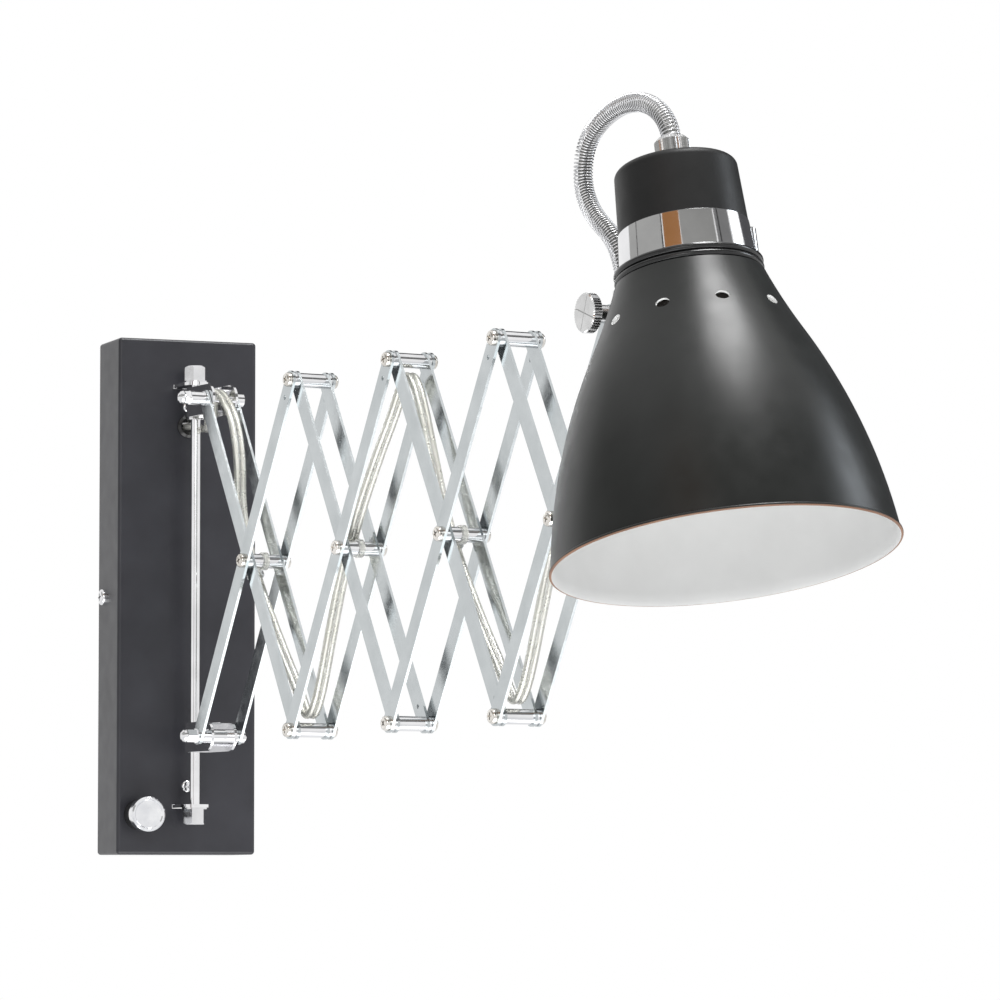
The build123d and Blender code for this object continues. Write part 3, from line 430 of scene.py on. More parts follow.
def knurled(radius, depth, count, heights, place):
    """Knurled round: fine ridges along it, with small chamfers at the (share, height) ends."""
    rings = []
    for share, z in heights:
        ring = []
        for k in range(2 * count):
            a = pi * k / count
            r = radius * share - (depth if k % 2 and share > 0.9 else 0)
            ring.append(place @ Vector((r * cos(a), r * sin(a), z)))
        rings.append(ring)
    return skin(rings)


def joined(parts):
    """Several (points, faces) as one."""
    points, faces = [], []
    for some_points, some_faces in parts:
        base = len(points)
        points += some_points
        faces += [tuple(base + i for i in face) for face in some_faces]
    return points, faces


def arc(centre, radius, start, end, steps):
    """(radius, height) points of an arc, with angles in degrees."""
    points = []
    for i in range(steps + 1):
        a = radians(start + (end - start) * i / steps)
        points.append((centre[0] + radius * cos(a), centre[1] + radius * sin(a)))
    return points


def cut(piece, cutter):
    """Boolean difference, applied to the piece's mesh; the cutter goes."""
    modifier = piece.modifiers.new("cut", "BOOLEAN")
    modifier.operation = "DIFFERENCE"
    modifier.solver = "EXACT"
    modifier.object = cutter
    graph = bpy.context.evaluated_depsgraph_get()
    mesh = bpy.data.meshes.new_from_object(piece.evaluated_get(graph))
    piece.modifiers.clear()
    piece.data = mesh
    bpy.data.objects.remove(cutter)
    mesh.set_sharp_from_angle(angle=radians(SHARP))


def box_faces(size, place):
    """Points and faces of a box centred on a place."""
    x, y, z = (v / 2 for v in size)
    points = []
    for dz in (-z, z):
        for dx, dy in ((-x, -y), (x, -y), (x, y), (-x, y)):
            points.append(place @ Vector((dx, dy, dz)))
    return points, [(3, 2, 1, 0), (4, 5, 6, 7), (0, 1, 5, 4), (1, 2, 6, 5), (2, 3, 7, 6), (3, 0, 4, 7)]


def stand_for(piece, body, node):
    """The piece rides on a body and replaces a CAD node."""
    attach(piece, body)
    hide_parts(node)


# ---------------------------------------------------------------- screws
def screw_template(head, shank_len, recess):
    """Pan head of a (radius, height) with a cross recess, head up from z = 0 and shank below."""
    radius, height = head
    round_r = height * 0.62
    crown = [(0, height)] + arc((radius - round_r, height - round_r), round_r, 80, 5, 6)
    outline = crown + [(radius, 0.0), (SCREW_R, 0.0), (SCREW_R, -shank_len), (0, -shank_len)]
    piece = new_piece("template", *lathe(outline, Matrix(), 32), [WARM])
    for turn in (0, 90):
        blade = (recess * 2, recess * 0.42, height * 1.1)
        place = Matrix.Translation((0, 0, height)) @ Matrix.Rotation(radians(turn), 4, "Z")
        cut(piece, new_piece("blade", *box_faces(blade, place), [WARM]))
    points = [v.co / MM for v in piece.data.vertices]
    faces = [tuple(p.vertices) for p in piece.data.polygons]
    bpy.data.objects.remove(piece)
    return points, faces


def placed(template, place, turn):
    """Copy of a template at a place, turned about its own axis in degrees."""
    points, faces = template
    whole = place @ Matrix.Rotation(radians(turn), 4, "Z")
    return [whole @ p for p in points], faces


PAN_SCREW = screw_template((SCREW_HEAD_R, SCREW_HEAD_H), HEAD_X - SCREW_DEPTH, SCREW_RECESS)
SIDE_SCREW = screw_template(SIDE_SCREW_HEAD, SIDE_SCREW_SHANK, SIDE_SCREW_RECESS)
TAB_SCREW = screw_template(TAB_SCREW_HEAD, TAB_SCREW_SHANK, TAB_SCREW_RECESS)
BRIDGE_SCREW = screw_template((SCREW_HEAD_R, SCREW_HEAD_H), BRIDGE_SCREW_SHANK, SCREW_RECESS)


def pivots_of(i):
    """Pivots whose screws are clamped to falling pair i."""
    points = [mid(i)]
    if i > 1:
        points.append(top(i - 1))
    if i < STAGES:
        points.append(low(i))
    return points


def arm_screws():
    """Screws of every pivot, each turned differently."""
    turn = SCREW_TURN
    for i in range(1, STAGES + 1):
        copies = []
        for at in pivots_of(i):
            for side in (-1, 1):
                seat = at_pivot(at, side) @ Matrix.Translation((0, 0, HEAD_X))
                copies.append(placed(PAN_SCREW, seat, turn))
                turn += SCREW_TURN_STEP
        piece = new_piece(f"pivot_screws_{i}", *joined(copies), [WARM])
        stand_for(piece, f"falling_pair_{i}", f"falling_screws_{i}")


def other_screws():
    """Screws of the tilt pivot, the head's bridge, the cover's sides and the rod's tabs."""
    seat = at_pivot(TIP, 1) @ Matrix.Translation((0, 0, HEAD_X))
    piece = new_piece("tilt_screw_head", *placed(PAN_SCREW, seat, turn=15), [WARM])
    stand_for(piece, "lamp_head", "tilt_screw")

    out = BAND_FOOT_R + BRIDGE_SCREW_OUT
    up = (CAP_FOOT + BAND_FOOT) / 2 + BRIDGE_SCREW_UP
    seat = HEAD @ Matrix.Translation((0, out, up)) @ Matrix.Rotation(radians(-90), 4, "X")
    piece = new_piece("bridge_screw_head", *placed(BRIDGE_SCREW, seat, turn=30), [CHROME])
    stand_for(piece, "lamp_head", "bridge_screw")

    copies = []
    for sign in (-1, 1):
        sideways = Matrix.Rotation(radians(90 * sign), 4, "Y")
        place = Matrix.Translation((sign * COVER_W / 2, SIDE_SCREW_Y, 0)) @ sideways
        copies.append(placed(SIDE_SCREW, place, turn=12))
    piece = new_piece("side_screws", *joined(copies), [CHROME])
    stand_for(piece, "wall_mount", "cover_screws")

    copies = []
    forwards = Matrix.Rotation(radians(90), 4, "X")
    for sign in (-1, 1):
        place = Matrix.Translation((0, -COVER_D, sign * TAB_SCREW_Z)) @ forwards
        copies.append(placed(TAB_SCREW, place, turn=25))
    piece = new_piece("rod_tab_screws", *joined(copies), [CHROME])
    stand_for(piece, "wall_mount", "tab_screws")


# ---------------------------------------------------------------- lamp head
def shade_arc(end, gap, spans):
    """(radius, height) points from the waist to an end of the shade, moved inwards by a gap."""
    waist = Vector(SHADE_WAIST)
    outward = Vector((1, SHADE_SLOPE)).normalized()
    chord = Vector(end) - waist
    radius = chord.length ** 2 / (2 * outward.dot(chord))
    centre = waist + outward * radius
    points = []
    for i in range(spans + 1):
        spoke = (waist + chord * (i / spans) - centre).normalized() * abs(radius)
        points.append(tuple(centre + spoke * (1 + gap / radius)))
    return points


def vent_punches():
    """Cutters of the ring of vents, each square to the wall it goes through."""
    fall = (SHADE_WAIST[0] - SHADE_TOP_R) / (SHADE_TOP - SHADE_WAIST[1])
    vent_r = SHADE_TOP_R + fall * (SHADE_TOP - VENT_AT)
    reach = 4
    punches = []
    for i in range(VENT_COUNT):
        spin = Matrix.Rotation(2 * pi * (i + VENT_PHASE) / VENT_COUNT, 4, "Z")
        lean = Matrix.Rotation(radians(90) - atan2(fall, 1), 4, "Y")
        place = HEAD @ spin @ Matrix.Translation((vent_r, 0, VENT_AT)) @ lean
        place = place @ Matrix.Diagonal((VENT_SQUASH, 1, 1, 1))
        punches.append(lathe([(VENT_R, -reach), (VENT_R, reach)], place, 32))
    return joined(punches)


def shade():
    """Spun bell: black outside, white inside, its raw edge showing at the rim."""
    segments = 180
    flare_spans, bell_spans, half_bead_spans = 6, 24, 4
    top_end, rim_end = (SHADE_TOP_R, SHADE_TOP), (SHADE_RIM_R, -SHADE_RIM)
    outside = shade_arc(top_end, 0, flare_spans)[:0:-1] + shade_arc(rim_end, 0, bell_spans)
    inside = shade_arc(top_end, SHADE_WALL, flare_spans)[:0:-1]
    inside += shade_arc(rim_end, SHADE_WALL, bell_spans)
    bead_centre = (SHADE_RIM_R + RIM_BEAD_OUT, -SHADE_RIM - RIM_BEAD_DROP)
    bead = arc(bead_centre, RIM_BEAD_R, 70, -110, 2 * half_bead_spans)
    floor = [(SHADE_NECK_R, inside[0][1]), (SHADE_NECK_R, SHADE_TOP)]
    outline = outside + bead + inside[::-1] + floor
    points, faces = lathe(outline, HEAD, segments, closed=True)
    black, white, copper = 0, 1, 2
    outer = len(outside) + half_bead_spans
    edge = outer + half_bead_spans
    indexes = []
    for i in range(len(outline)):
        if i < outer or i >= len(outline) - 1:
            kind = black
        elif i < edge:
            kind = copper
        else:
            kind = white
        indexes += [kind] * segments
    materials = [SHADE_BLACK, SHADE_WHITE, RIM_COPPER]
    piece = new_piece("bell_shade", points, faces, materials, indexes)
    points, faces = vent_punches()
    cut(piece, new_piece("punches", points, faces, materials, [white] * len(faces)))
    stand_for(piece, "lamp_head", "shade")


def cap():
    """Spun cap with a rounded top edge, a hole for the hose and a skirt inside the band."""
    edge = arc((CAP_TOP_R - CAP_EDGE_R, CAP_TOP - CAP_EDGE_R), CAP_EDGE_R, 90, 2, 10)
    hole = HOSE_R + CAP_GAP
    skirt = BAND_TOP_R - CAP_WALL - CAP_GAP
    skirt_foot = BAND_FOOT + 1
    inside = skirt - CAP_WALL
    ceiling = CAP_TOP - CAP_WALL
    slope = 2
    outline = [(hole, CAP_TOP)] + edge + [(CAP_FOOT_R, CAP_FOOT), (skirt, CAP_FOOT), (skirt, skirt_foot)]
    outline += [(inside, skirt_foot), (inside, ceiling - slope), (inside - slope, ceiling), (hole, ceiling)]
    piece = new_piece("black_cap", *lathe(outline, HEAD, 128, closed=True), [CAP_BLACK])
    stand_for(piece, "lamp_head", "socket_cap")


def band():
    """Polished band under the cap, with the round lug of its joint."""
    inner = BAND_TOP_R - BAND_WALL
    outline = [(inner, CAP_FOOT), (BAND_TOP_R - BAND_EDGE, CAP_FOOT), (BAND_TOP_R, CAP_FOOT - BAND_EDGE)]
    outline += [(BAND_FOOT_R, BAND_FOOT + BAND_EDGE), (BAND_FOOT_R - BAND_EDGE, BAND_FOOT)]
    outline.append((inner, BAND_FOOT))
    ring = lathe(outline, HEAD, 128, closed=True)
    angle = radians(LUG_ANGLE)
    lug_at = BAND_TOP_R - LUG_SINK
    middle = (CAP_FOOT + BAND_FOOT) / 2 - LUG_SHORT / 2
    half = (CAP_FOOT - BAND_FOOT - LUG_SHORT) / 2
    place = HEAD @ Matrix.Translation((lug_at * cos(angle), lug_at * sin(angle), middle))
    end_r = LUG_R - LUG_EDGE
    lug_outline = [(end_r, half), (LUG_R, half - LUG_EDGE), (LUG_R, LUG_EDGE - half), (end_r, -half)]
    lug = lathe(lug_outline, place, 32)
    piece = new_piece("chrome_band", *joined([ring, lug]), [CHROME])
    stand_for(piece, "lamp_head", "clamp_band")


def double_bead():
    """Two round beads between the band and the shade."""
    outline = [(BEAD_INNER_R, BAND_FOOT)]
    for i in (0, 1):
        centre = (BEAD_RING_R, BAND_FOOT - BEAD_DROP - BEAD_PITCH * i)
        outline += arc(centre, BEAD_R, 88, -88, 10)
    outline += [(BEAD_INNER_R, BEAD_FOOT)]
    piece = new_piece("double_bead", *lathe(outline, HEAD, 128, closed=True), [BLACK_PLASTIC])
    stand_for(piece, "lamp_head", "collar_ring")


def threaded_shell():
    """Thin brass tube with the round thread of a bulb's base."""
    steps, segments = 72, 72
    foot = HOLDER_MOUTH + SHELL_FOOT
    length = HOLDER_BORE_DEPTH - SHELL_SHORT
    heights = [foot + length * i / steps for i in range(steps + 1)]
    rings = []
    for shift, run in ((0.0, heights), (SHELL_WALL, heights[::-1])):
        for z in run:
            ring = []
            for k in range(segments):
                a = 2 * pi * k / segments
                wave = THREAD_DEPTH / 2 * cos(2 * pi * z / THREAD_PITCH - a)
                r = HOLDER_BORE_R + THREAD_DEPTH / 2 + wave + shift
                ring.append(HEAD @ Vector((r * cos(a), r * sin(a), z)))
            rings.append(ring)
    return skin(rings, closed=True)


def lampholder():
    """Black holder with its clamping ring, a threaded brass shell and a centre contact; the ring is widened
    under the shade's top, a dark sheet that paints the shadow seen through the vents.
    """
    ring_top = SHADE_TOP - SHADE_WALL - HOLDER_RING_GAP
    ring_foot = ring_top - HOLDER_RING_H
    ring_side = HOLDER_RING_H - HOLDER_RING_EDGE
    rim = HOLDER_RING_PAINTED_SHADOW_R - HOLDER_RING_EDGE
    bore_top = HOLDER_MOUTH + HOLDER_BORE_DEPTH
    bore_r = HOLDER_BORE_R + SHELL_ROOM
    neck_top = HOLDER_TOP + HOLDER_NECK_H
    top_round, mouth_round = 1.5, 1.0
    outline = [(0, neck_top), (HOLDER_NECK_R, neck_top), (HOLDER_NECK_R, HOLDER_TOP)]
    outline += arc((HOLDER_R - top_round, HOLDER_TOP - top_round), top_round, 90, 0, 6)
    outline += [(HOLDER_R, ring_top), (rim, ring_top), (HOLDER_RING_PAINTED_SHADOW_R, ring_top - HOLDER_RING_EDGE)]
    outline += [(HOLDER_RING_PAINTED_SHADOW_R, ring_top - ring_side), (rim, ring_foot), (HOLDER_R, ring_foot)]
    outline += arc((HOLDER_R - mouth_round, HOLDER_MOUTH + mouth_round), mouth_round, 0, -90, 5)
    outline += [(bore_r, HOLDER_MOUTH), (bore_r, bore_top), (0, bore_top)]
    body = lathe(outline, HEAD, 96)
    shell = threaded_shell()
    crown = [(0, bore_top - 2.0), (3.4, bore_top - 1.6), (CONTACT_R, bore_top - 1.0)]
    contact = lathe(crown + [(CONTACT_R, bore_top + 0.2), (0, bore_top + 0.2)], HEAD, 40)
    points, faces = joined([body, shell, contact])
    indexes = [0] * len(body[1]) + [1] * (len(shell[1]) + len(contact[1]))
    piece = new_piece("black_lampholder", points, faces, [HOLDER_BLACK_AND_SHADOW, BRASS], indexes)
    stand_for(piece, "lamp_head", "lampholder")


def gland():
    """Knurled gland on the cap, where the hose goes in."""
    end = CAP_TOP + GLAND_H
    heights = [(0.93, CAP_TOP + 0.05), (1.0, CAP_TOP + 0.8), (1.0, end - 1.8), (0.8, end), (0.6, end)]
    form = knurled(GLAND_R, GLAND_KNURL, GLAND_RIDGES, heights, HEAD)
    piece = new_piece("knurled_gland", *form, [TURNED], sharp=20)
    stand_for(piece, "lamp_head", "hose_gland")


def thumb_screw():
    """Tilt screw: shank, bright collar and a knurled disc with a scribed face."""
    place = at_pivot(TIP, -1)
    outline = [(0, THUMB_SHANK_END), (SCREW_R, THUMB_SHANK_END), (SCREW_R, HEAD_X), (THUMB_COLLAR_R, HEAD_X)]
    shank = lathe(outline + [(THUMB_COLLAR_R, THUMB_COLLAR_END), (0, THUMB_COLLAR_END)], place, 40)
    near, far = THUMB_COLLAR_END, THUMB_COLLAR_END + THUMB_DISC_T
    heights = [(0.93, near), (1.0, near + 0.5), (1.0, far - 0.6), (0.94, far)]
    disc = knurled(THUMB_DISC_R, THUMB_KNURL, THUMB_RIDGES, heights, place)
    piece = new_piece("knurled_thumb_screw", *joined([shank, disc]), [TURNED], sharp=20)
    for turn, width, depth in ((70, 0.7, 1.6), (160, 0.3, 0.4)):
        across = place @ Matrix.Translation((0, 0, far)) @ Matrix.Rotation(radians(turn), 4, "Z")
        groove = (2.1 * THUMB_DISC_R, width, depth)
        cut(piece, new_piece("slot", *box_faces(groove, across), [TURNED]))
    stand_for(piece, "tilt_knob", "thumb_screw")


# ---------------------------------------------------------------- cords
def smooth_line(points):
    """NURBS line through a route, read back as points in millimetres."""
    curve = bpy.data.curves.new("route", "CURVE")
    curve.dimensions = "3D"
    curve.resolution_u = 24
    spline = curve.splines.new("NURBS")
    spline.points.add(len(points) - 1)
    for target, p in zip(spline.points, points):
        target.co = (*p, 1)
    spline.order_u = 3
    spline.use_endpoint_u = True
    holder = bpy.data.objects.new("route", curve)
    bpy.context.scene.collection.objects.link(holder)
    graph = bpy.context.evaluated_depsgraph_get()
    mesh = bpy.data.meshes.new_from_object(holder.evaluated_get(graph))
    line = [v.co.copy() for v in mesh.vertices]
    bpy.data.objects.remove(holder)
    return line


def spaced(line, step):
    """The same line with points evenly spaced, about a step apart."""
    lengths = [0.0]
    for a, b in zip(line, line[1:]):
        lengths.append(lengths[-1] + (b - a).length)
    count = max(2, round(lengths[-1] / step))
    result = []
    k = 0
    for i in range(count + 1):
        s = lengths[-1] * i / count
        while k < len(lengths) - 2 and lengths[k + 1] < s:
            k += 1
        share = (s - lengths[k]) / max(lengths[k + 1] - lengths[k], 1e-9)
        result.append(line[k].lerp(line[k + 1], share))
    return result


def frames_along(line, across):
    """(point, side, normal) at each point, the side kept nearest to `across`."""
    result = []
    for i, p in enumerate(line):
        tangent = (line[min(i + 1, len(line) - 1)] - line[max(i - 1, 0)]).normalized()
        side = (across - tangent * across.dot(tangent)).normalized()
        result.append((p, side, tangent.cross(side)))
    return result


def sweep(frames, section):
    """Rings of a section along frames; the section is a list, or a function of the length so far."""
    rings = []
    done = 0.0
    last = frames[0][0]
    for p, side, normal in frames:
        done += (p - last).length
        last = p
        shape = section(done) if callable(section) else section
        rings.append([p + side * a + normal * b for a, b in shape])
    return skin(rings)


def twin_section():
    """Outline of the flat twin sheath: two rounds side by side with a shallow valley between."""
    r = LEAD_T / 2
    reach = LEAD_W / 2 - r
    valley, steps = 38.0, 12
    points = []
    for centre, start in ((reach, valley - 180), (-reach, valley)):
        for i in range(steps + 1):
            a = radians(start + (360 - 2 * valley) * i / steps)
            points.append((centre + r * cos(a), r * sin(a)))
    return points


def stranded(offset, radius):
    """Section of a twisted conductor that turns as it goes along."""
    strands, pitch, groove = 8, 16.0, 0.045

    def section(done):
        points = []
        for k in range(4 * strands):
            a = 2 * pi * k / (4 * strands)
            r = radius * (1 - groove + groove * cos(strands * a))
            b = a + 2 * pi * done / pitch
            points.append((offset + r * cos(b), r * sin(b)))
        return points

    return section


def lead_pieces(sheath_name, cores_name, frames, finish):
    """Sheath and the two stranded cores of a length of lead."""
    sheath = new_piece(sheath_name, *sweep(frames, twin_section()), [finish], sharp=60)
    cores = [sweep(frames, stranded(sign * CORE_X, CORE_R)) for sign in (-1, 1)]
    strands = new_piece(cores_name, *joined(cores), [STRANDS], sharp=80)
    return sheath, strands


def bar_point(start, direction, out_sign, u, w):
    """Point u along a bar from a pivot and w to its outward side, in the row frame."""
    n = (-direction[1] * out_sign, direction[0] * out_sign)
    return in_arm(start[0] + u * direction[0] + w * n[0], start[1] + u * direction[1] + w * n[1])


# The lead's route. Beside the bars its points are (along the bar, off it); V_REACH and V_CREST are where
# it rounds a pivot, OFF_BAR is how far to each side of a pivot it bends.
V_REACH = LEAD_BEND_R * tan(radians(90 - FOLD_REST))
V_CREST = 6.7
END = BAR_SPAN - V_REACH
OFF_BAR = 9.5
FALL_1 = [(14.5, 9.8), (29.0, 9.4), (48.0, 3.6), (68.0, -8.4), (95.0, -13.4), (125.0, -12.0),
          (165.0, -6.5), (195.0, -0.8), (END, 0)]
RISE_2 = [(V_REACH, 0), (30.0, -0.6), (60.0, -5.5), (90.0, -9.6), (125.0, -10.2), (165.0, -6.0),
          (195.0, -0.8), (END, 0)]
FALL_3 = RISE_2
RISE_4 = [(V_REACH, 0), (30.0, -0.6), (60.0, -5.5), (90.0, -9.6), (125.0, -10.6), (165.0, -9.8),
          (204.0, -8.6)]
TO_FERRULE = [(-14.5, -8.5), (-8.0, -3.0), (-6.0, 1.2), (-6.0, 4.6)]
IN_COVER = [(TERMINAL_X, -7.5, -33.0), (TERMINAL_X, -7.5, -14.0), (19.0, -19.0, 12.0),
            (9.0, -21.0, 47.0), (2.0, -19.0, 77.0), (0, -26.0, BUSHING_Z)]
OUT_OF_COVER = [(0, -4.0, 0), (4.5, -9.0, -1.5)]
BRACKET = [(7.4, -1.0, -2.6), (7.0, -5.5, -3.3), (1.5, -15.5, -3.0), (0, -20.0, 4.0), (0, -22.4, 14.9),
           (0, -29.0, 17.6)]
BRACKET_CUT = (0, -18.5, 1.5)


def lead_route():
    """Control points of the whole lead, from the terminal block to the hose's ferrule."""
    points = [Vector(p) for p in IN_COVER]
    points += [Vector((x, y - COVER_D, BUSHING_Z + z)) for x, y, z in OUT_OF_COVER]
    points += [ARM @ Vector((x, y, BUSHING_Z + z)) for x, y, z in BRACKET]
    points += [bar_point(top(0), FALL, 1, u, w) for u, w in FALL_1]
    points.append(in_arm(low(1)[0], low(1)[1] + V_CREST))
    points += [bar_point(low(1), RISE, -1, u, w) for u, w in RISE_2]
    points.append(in_arm(top(2)[0], top(2)[1] - V_CREST))
    points += [bar_point(top(2), FALL, 1, u, w) for u, w in FALL_3]
    points.append(in_arm(low(3)[0], low(3)[1] + V_CREST))
    points += [bar_point(low(3), RISE, -1, u, w) for u, w in RISE_4]
    points += [in_arm(TIP[0] + out, TIP[1] + up) for out, up in TO_FERRULE]
    return points


def nearest(line, point):
    """Index of the line's point nearest to another."""
    return min(range(len(line)), key=lambda i: (line[i] - point).length)


def lead_tie(at, centre):
    """Clear clip with two eyes: one round a spacer, one round the lead beside it."""
    pivot = in_arm(*at)
    away = (centre - pivot).normalized()
    distance = (centre - pivot).length
    upright = ACROSS_ARM.cross(away)
    eye_place = Matrix((ACROSS_ARM, upright, away)).transposed().to_4x4()
    eye_place.translation = pivot
    turn = Matrix.Rotation(radians(90), 4, "Y")
    r = SPACER_R + TIE_GAP
    half = TIE_W / 2
    rim = [(r, -half), (r, half), (r + TIE_T, half), (r + TIE_T, -half)]
    eye = lathe(rim, eye_place @ turn, 32, closed=True)
    wide, thick = LEAD_W / 2 + TIE_GAP, LEAD_T / 2 + TIE_GAP
    rings = []
    corners = ((1, 1, 0), (-1, 1, 90), (-1, -1, 180), (1, -1, 270))
    for grow, y in ((0, -half), (0, half), (TIE_T, half), (TIE_T, -half)):
        a, b = wide + grow, thick + grow
        corner = TIE_CORNER + grow
        ring = []
        for sx, sz, start in corners:
            for i in range(4):
                t = radians(start + 30 * i)
                x = sx * (a - corner) + corner * cos(t)
                z = sz * (b - corner) + corner * sin(t)
                ring.append(eye_place @ Vector((x, y, distance + z)))
        rings.append(ring)
    loop = skin(rings, closed=True)
    stem_len = distance - thick - TIE_T / 2 - r - TIE_T / 2
    stem_place = eye_place @ Matrix.Translation((0, 0, r + TIE_T / 2 + stem_len / 2))
    stem = box_faces((TIE_W, TIE_W, stem_len), stem_place)
    return joined([eye, loop, stem])


def beside(at):
    """Points to both sides of a pivot, between which the lead bends."""
    return in_arm(at[0] - OFF_BAR, at[1]), in_arm(at[0] + OFF_BAR, at[1])


def arm_lead():
    """The lead, cut where its ties hide the cut, into one length for each joint."""
    line = spaced(smooth_line(lead_route()), LEAD_STEP)
    frames = frames_along(line, ACROSS_ARM)
    ties = [nearest(line, in_arm(*mid(i))) for i in range(1, STAGES + 1)]
    x, y, z = BRACKET_CUT
    cuts = [0, nearest(line, ARM @ Vector((x, y, BUSHING_Z + z)))] + ties + [len(line) - 1]
    at_cover = (Vector((0, -COVER_D - 2, BUSHING_Z)), ARM @ Vector((0, -9, BUSHING_Z)))
    at_first_bars = (in_arm(REACH, TOP_Z), in_arm(REACH + 7, TOP_Z))
    at_head = (in_arm(TIP[0] - 24, TIP[1] - 24), in_arm(TIP[0] - 6, TIP[1] + 2))
    lengths = [
        ("wall_mount", "upper_bracket", at_cover, ["supply_lead", "bracket_lead"]),
        ("upper_bracket", "falling_pair_1", at_first_bars, []),
        ("falling_pair_1", "rising_pair_2", beside(low(1)), ["falling_lead_1"]),
        ("rising_pair_2", "falling_pair_3", beside(top(2)), ["rising_lead_2"]),
        ("falling_pair_3", "rising_pair_4", beside(low(3)), ["falling_lead_3"]),
        ("rising_pair_4", "lamp_head", at_head, ["rising_lead_4"]),
    ]
    for k, (first, second, (start, end), replaced) in enumerate(lengths):
        run = frames[cuts[k]:cuts[k + 1] + 1]
        sheath, strands = lead_pieces(f"lead_sheath_{k}", f"lead_cores_{k}", run, CLEAR)
        for piece in (sheath, strands):
            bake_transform(piece)
        if replaced:
            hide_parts(*replaced)
    carriers = ["falling_pair_1", "rising_pair_2", "falling_pair_3", "rising_pair_4"]
    for i, carrier in enumerate(carriers):
        piece = new_piece(f"lead_tie_{i + 1}", *lead_tie(mid(i + 1), line[ties[i]]), [CLEAR])
        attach(piece, carrier)


HOSE_BENDS = [(38.0, 83.0), (35.8, 92.7), (13.3, 106.2), (-17.9, 106.2), (-46.2, 92.4), (-46.2, 60.8),
              (-6.0, 34.2), (-6.0, 13.3)]


def spring_wire(frames, length):
    """Wire wound round a line of frames, turn beside turn."""
    per_turn, sides = 18, 7
    turns = length / SPRING_PITCH
    count = round(turns * per_turn)
    coil_r = HOSE_R - SPRING_WIRE_R
    last = len(frames) - 1
    wire = []
    for i in range(count + 1):
        place = i / count * last
        k = min(int(place), last - 1)
        share = place - k
        p, side, normal = (a.lerp(b, share) for a, b in zip(frames[k], frames[k + 1]))
        a = 2 * pi * turns * i / count
        wire.append(p + (side * cos(a) + normal * sin(a)) * coil_r)
    rings = []
    for i, p in enumerate(wire):
        tangent = (wire[min(i + 1, count)] - wire[max(i - 1, 0)]).normalized()
        centre = frames[min(round(i / count * last), last)][0]
        out = (p - centre).normalized()
        out = (out - tangent * out.dot(tangent)).normalized()
        beside_it = tangent.cross(out)
        ring = []
        for k in range(sides):
            a = 2 * pi * k / sides
            ring.append(p + (out * cos(a) + beside_it * sin(a)) * SPRING_WIRE_R)
        rings.append(ring)
    return skin(rings)


def spring_hose():
    """Close-wound spring from the gland to the ferrule, with the lead showing inside it, coloured dark grey
    as painted shadow inside the coil.
    """
    route = [in_arm(TIP[0] + out, TIP[1] + up) for out, up in HOSE_BENDS]
    line = spaced(smooth_line(route), HOSE_STEP)
    frames = frames_along(line, ACROSS_ARM)
    length = sum((b - a).length for a, b in zip(line, line[1:]))
    piece = new_piece("hose_spring", *spring_wire(frames, length), [SPRING], sharp=80)
    stand_for(piece, "lamp_head", "spring_hose")
    shifted = []
    for i, (p, side, normal) in enumerate(frames):
        share = i / (len(frames) - 1)
        shift = HOSE_LEAD_SHIFT * min(1.0, share / HOSE_RUN_IN, (1 - share) / HOSE_RUN_IN)
        shifted.append((p + normal * shift, side, normal))
    # Dark grey lead: painted shadow inside the coil.
    for piece in lead_pieces("hose_lead_sheath", "hose_lead_cores", shifted, LEAD_IN_PAINTED_SHADOW):
        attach(piece, "lamp_head")


arm_screws()
other_screws()
shade()
cap()
band()
double_bead()
lampholder()
gland()
thumb_screw()
arm_lead()
spring_hose()


# ---------------------------------------------------------------- studio, in metres
SKY = (0.95, 0.97, 1.0, 1)
SKY_STRENGTH = 0.42
FLOOR_HALF = 9.0
FLOOR_Z = -2.6
FLOOR_GLOW = 0.5
# name, place, aim, size, watts, colour
LIGHTS = [
    ("overhead", (0.42, -0.93, 2.3), (0, -0.5, 0.1), (1.1, 0.75), 47, (1, 1, 1)),
    ("window", (2.35, -0.85, 1.2), (0, -0.4, 0.0), (0.8, 0.8), 10, (0.84, 0.92, 1.0)),
    ("front", (-1.2, -2.6, 0.9), (0, -0.35, 0.0), (1.2, 1.2), 9, (1, 1, 1)),
    ("below", (0.0, -1.1, -1.3), (0, -0.5, 0.0), (2.0, 1.6), 22, (1, 1, 1)),
]
CARD_CENTRE = Vector((0.05, -0.55, 0.15))
CARD_DISTANCE = 2.2
# name, azimuth and elevation in degrees, size, colour
CARDS = [
    ("card_front", 0.0, 39.0, (2.2, 1.5), (0.31, 0.31, 0.30)),
    ("card_left", -103.0, 21.0, (3.0, 1.2), (0.42, 0.42, 0.41)),
    ("card_warm", -51.0, 34.0, (1.0, 0.8), (0.36, 0.17, 0.07)),
    ("card_line_left", -119.0, 18.0, (0.05, 1.2), (0.03, 0.03, 0.03)),
    ("card_line_warm", -69.0, 30.0, (0.07, 1.1), (0.03, 0.03, 0.03)),
    ("card_line_mid", 44.0, 36.0, (0.07, 1.1), (0.02, 0.02, 0.02)),
    ("card_line_right", 74.0, 30.0, (0.06, 1.1), (0.03, 0.03, 0.03)),
    ("card_right", 53.0, 34.0, (1.0, 1.0), (0.22, 0.22, 0.22)),
    ("card_stand", -58.0, 0.0, (0.5, 0.7), (0.42, 0.38, 0.38)),
    ("card_edge", 135.0, 24.0, (3.0, 2.3), (0.09, 0.09, 0.095)),
    ("card_low", -25.0, -42.0, (2.4, 0.35), (0.04, 0.04, 0.04)),
]


def towards(azimuth, elevation):
    """Direction out from the lamp; azimuth 0 is straight ahead of the wall, in degrees."""
    az, el = radians(azimuth), radians(elevation)
    return Vector((sin(az) * cos(el), -cos(az) * cos(el), sin(el)))


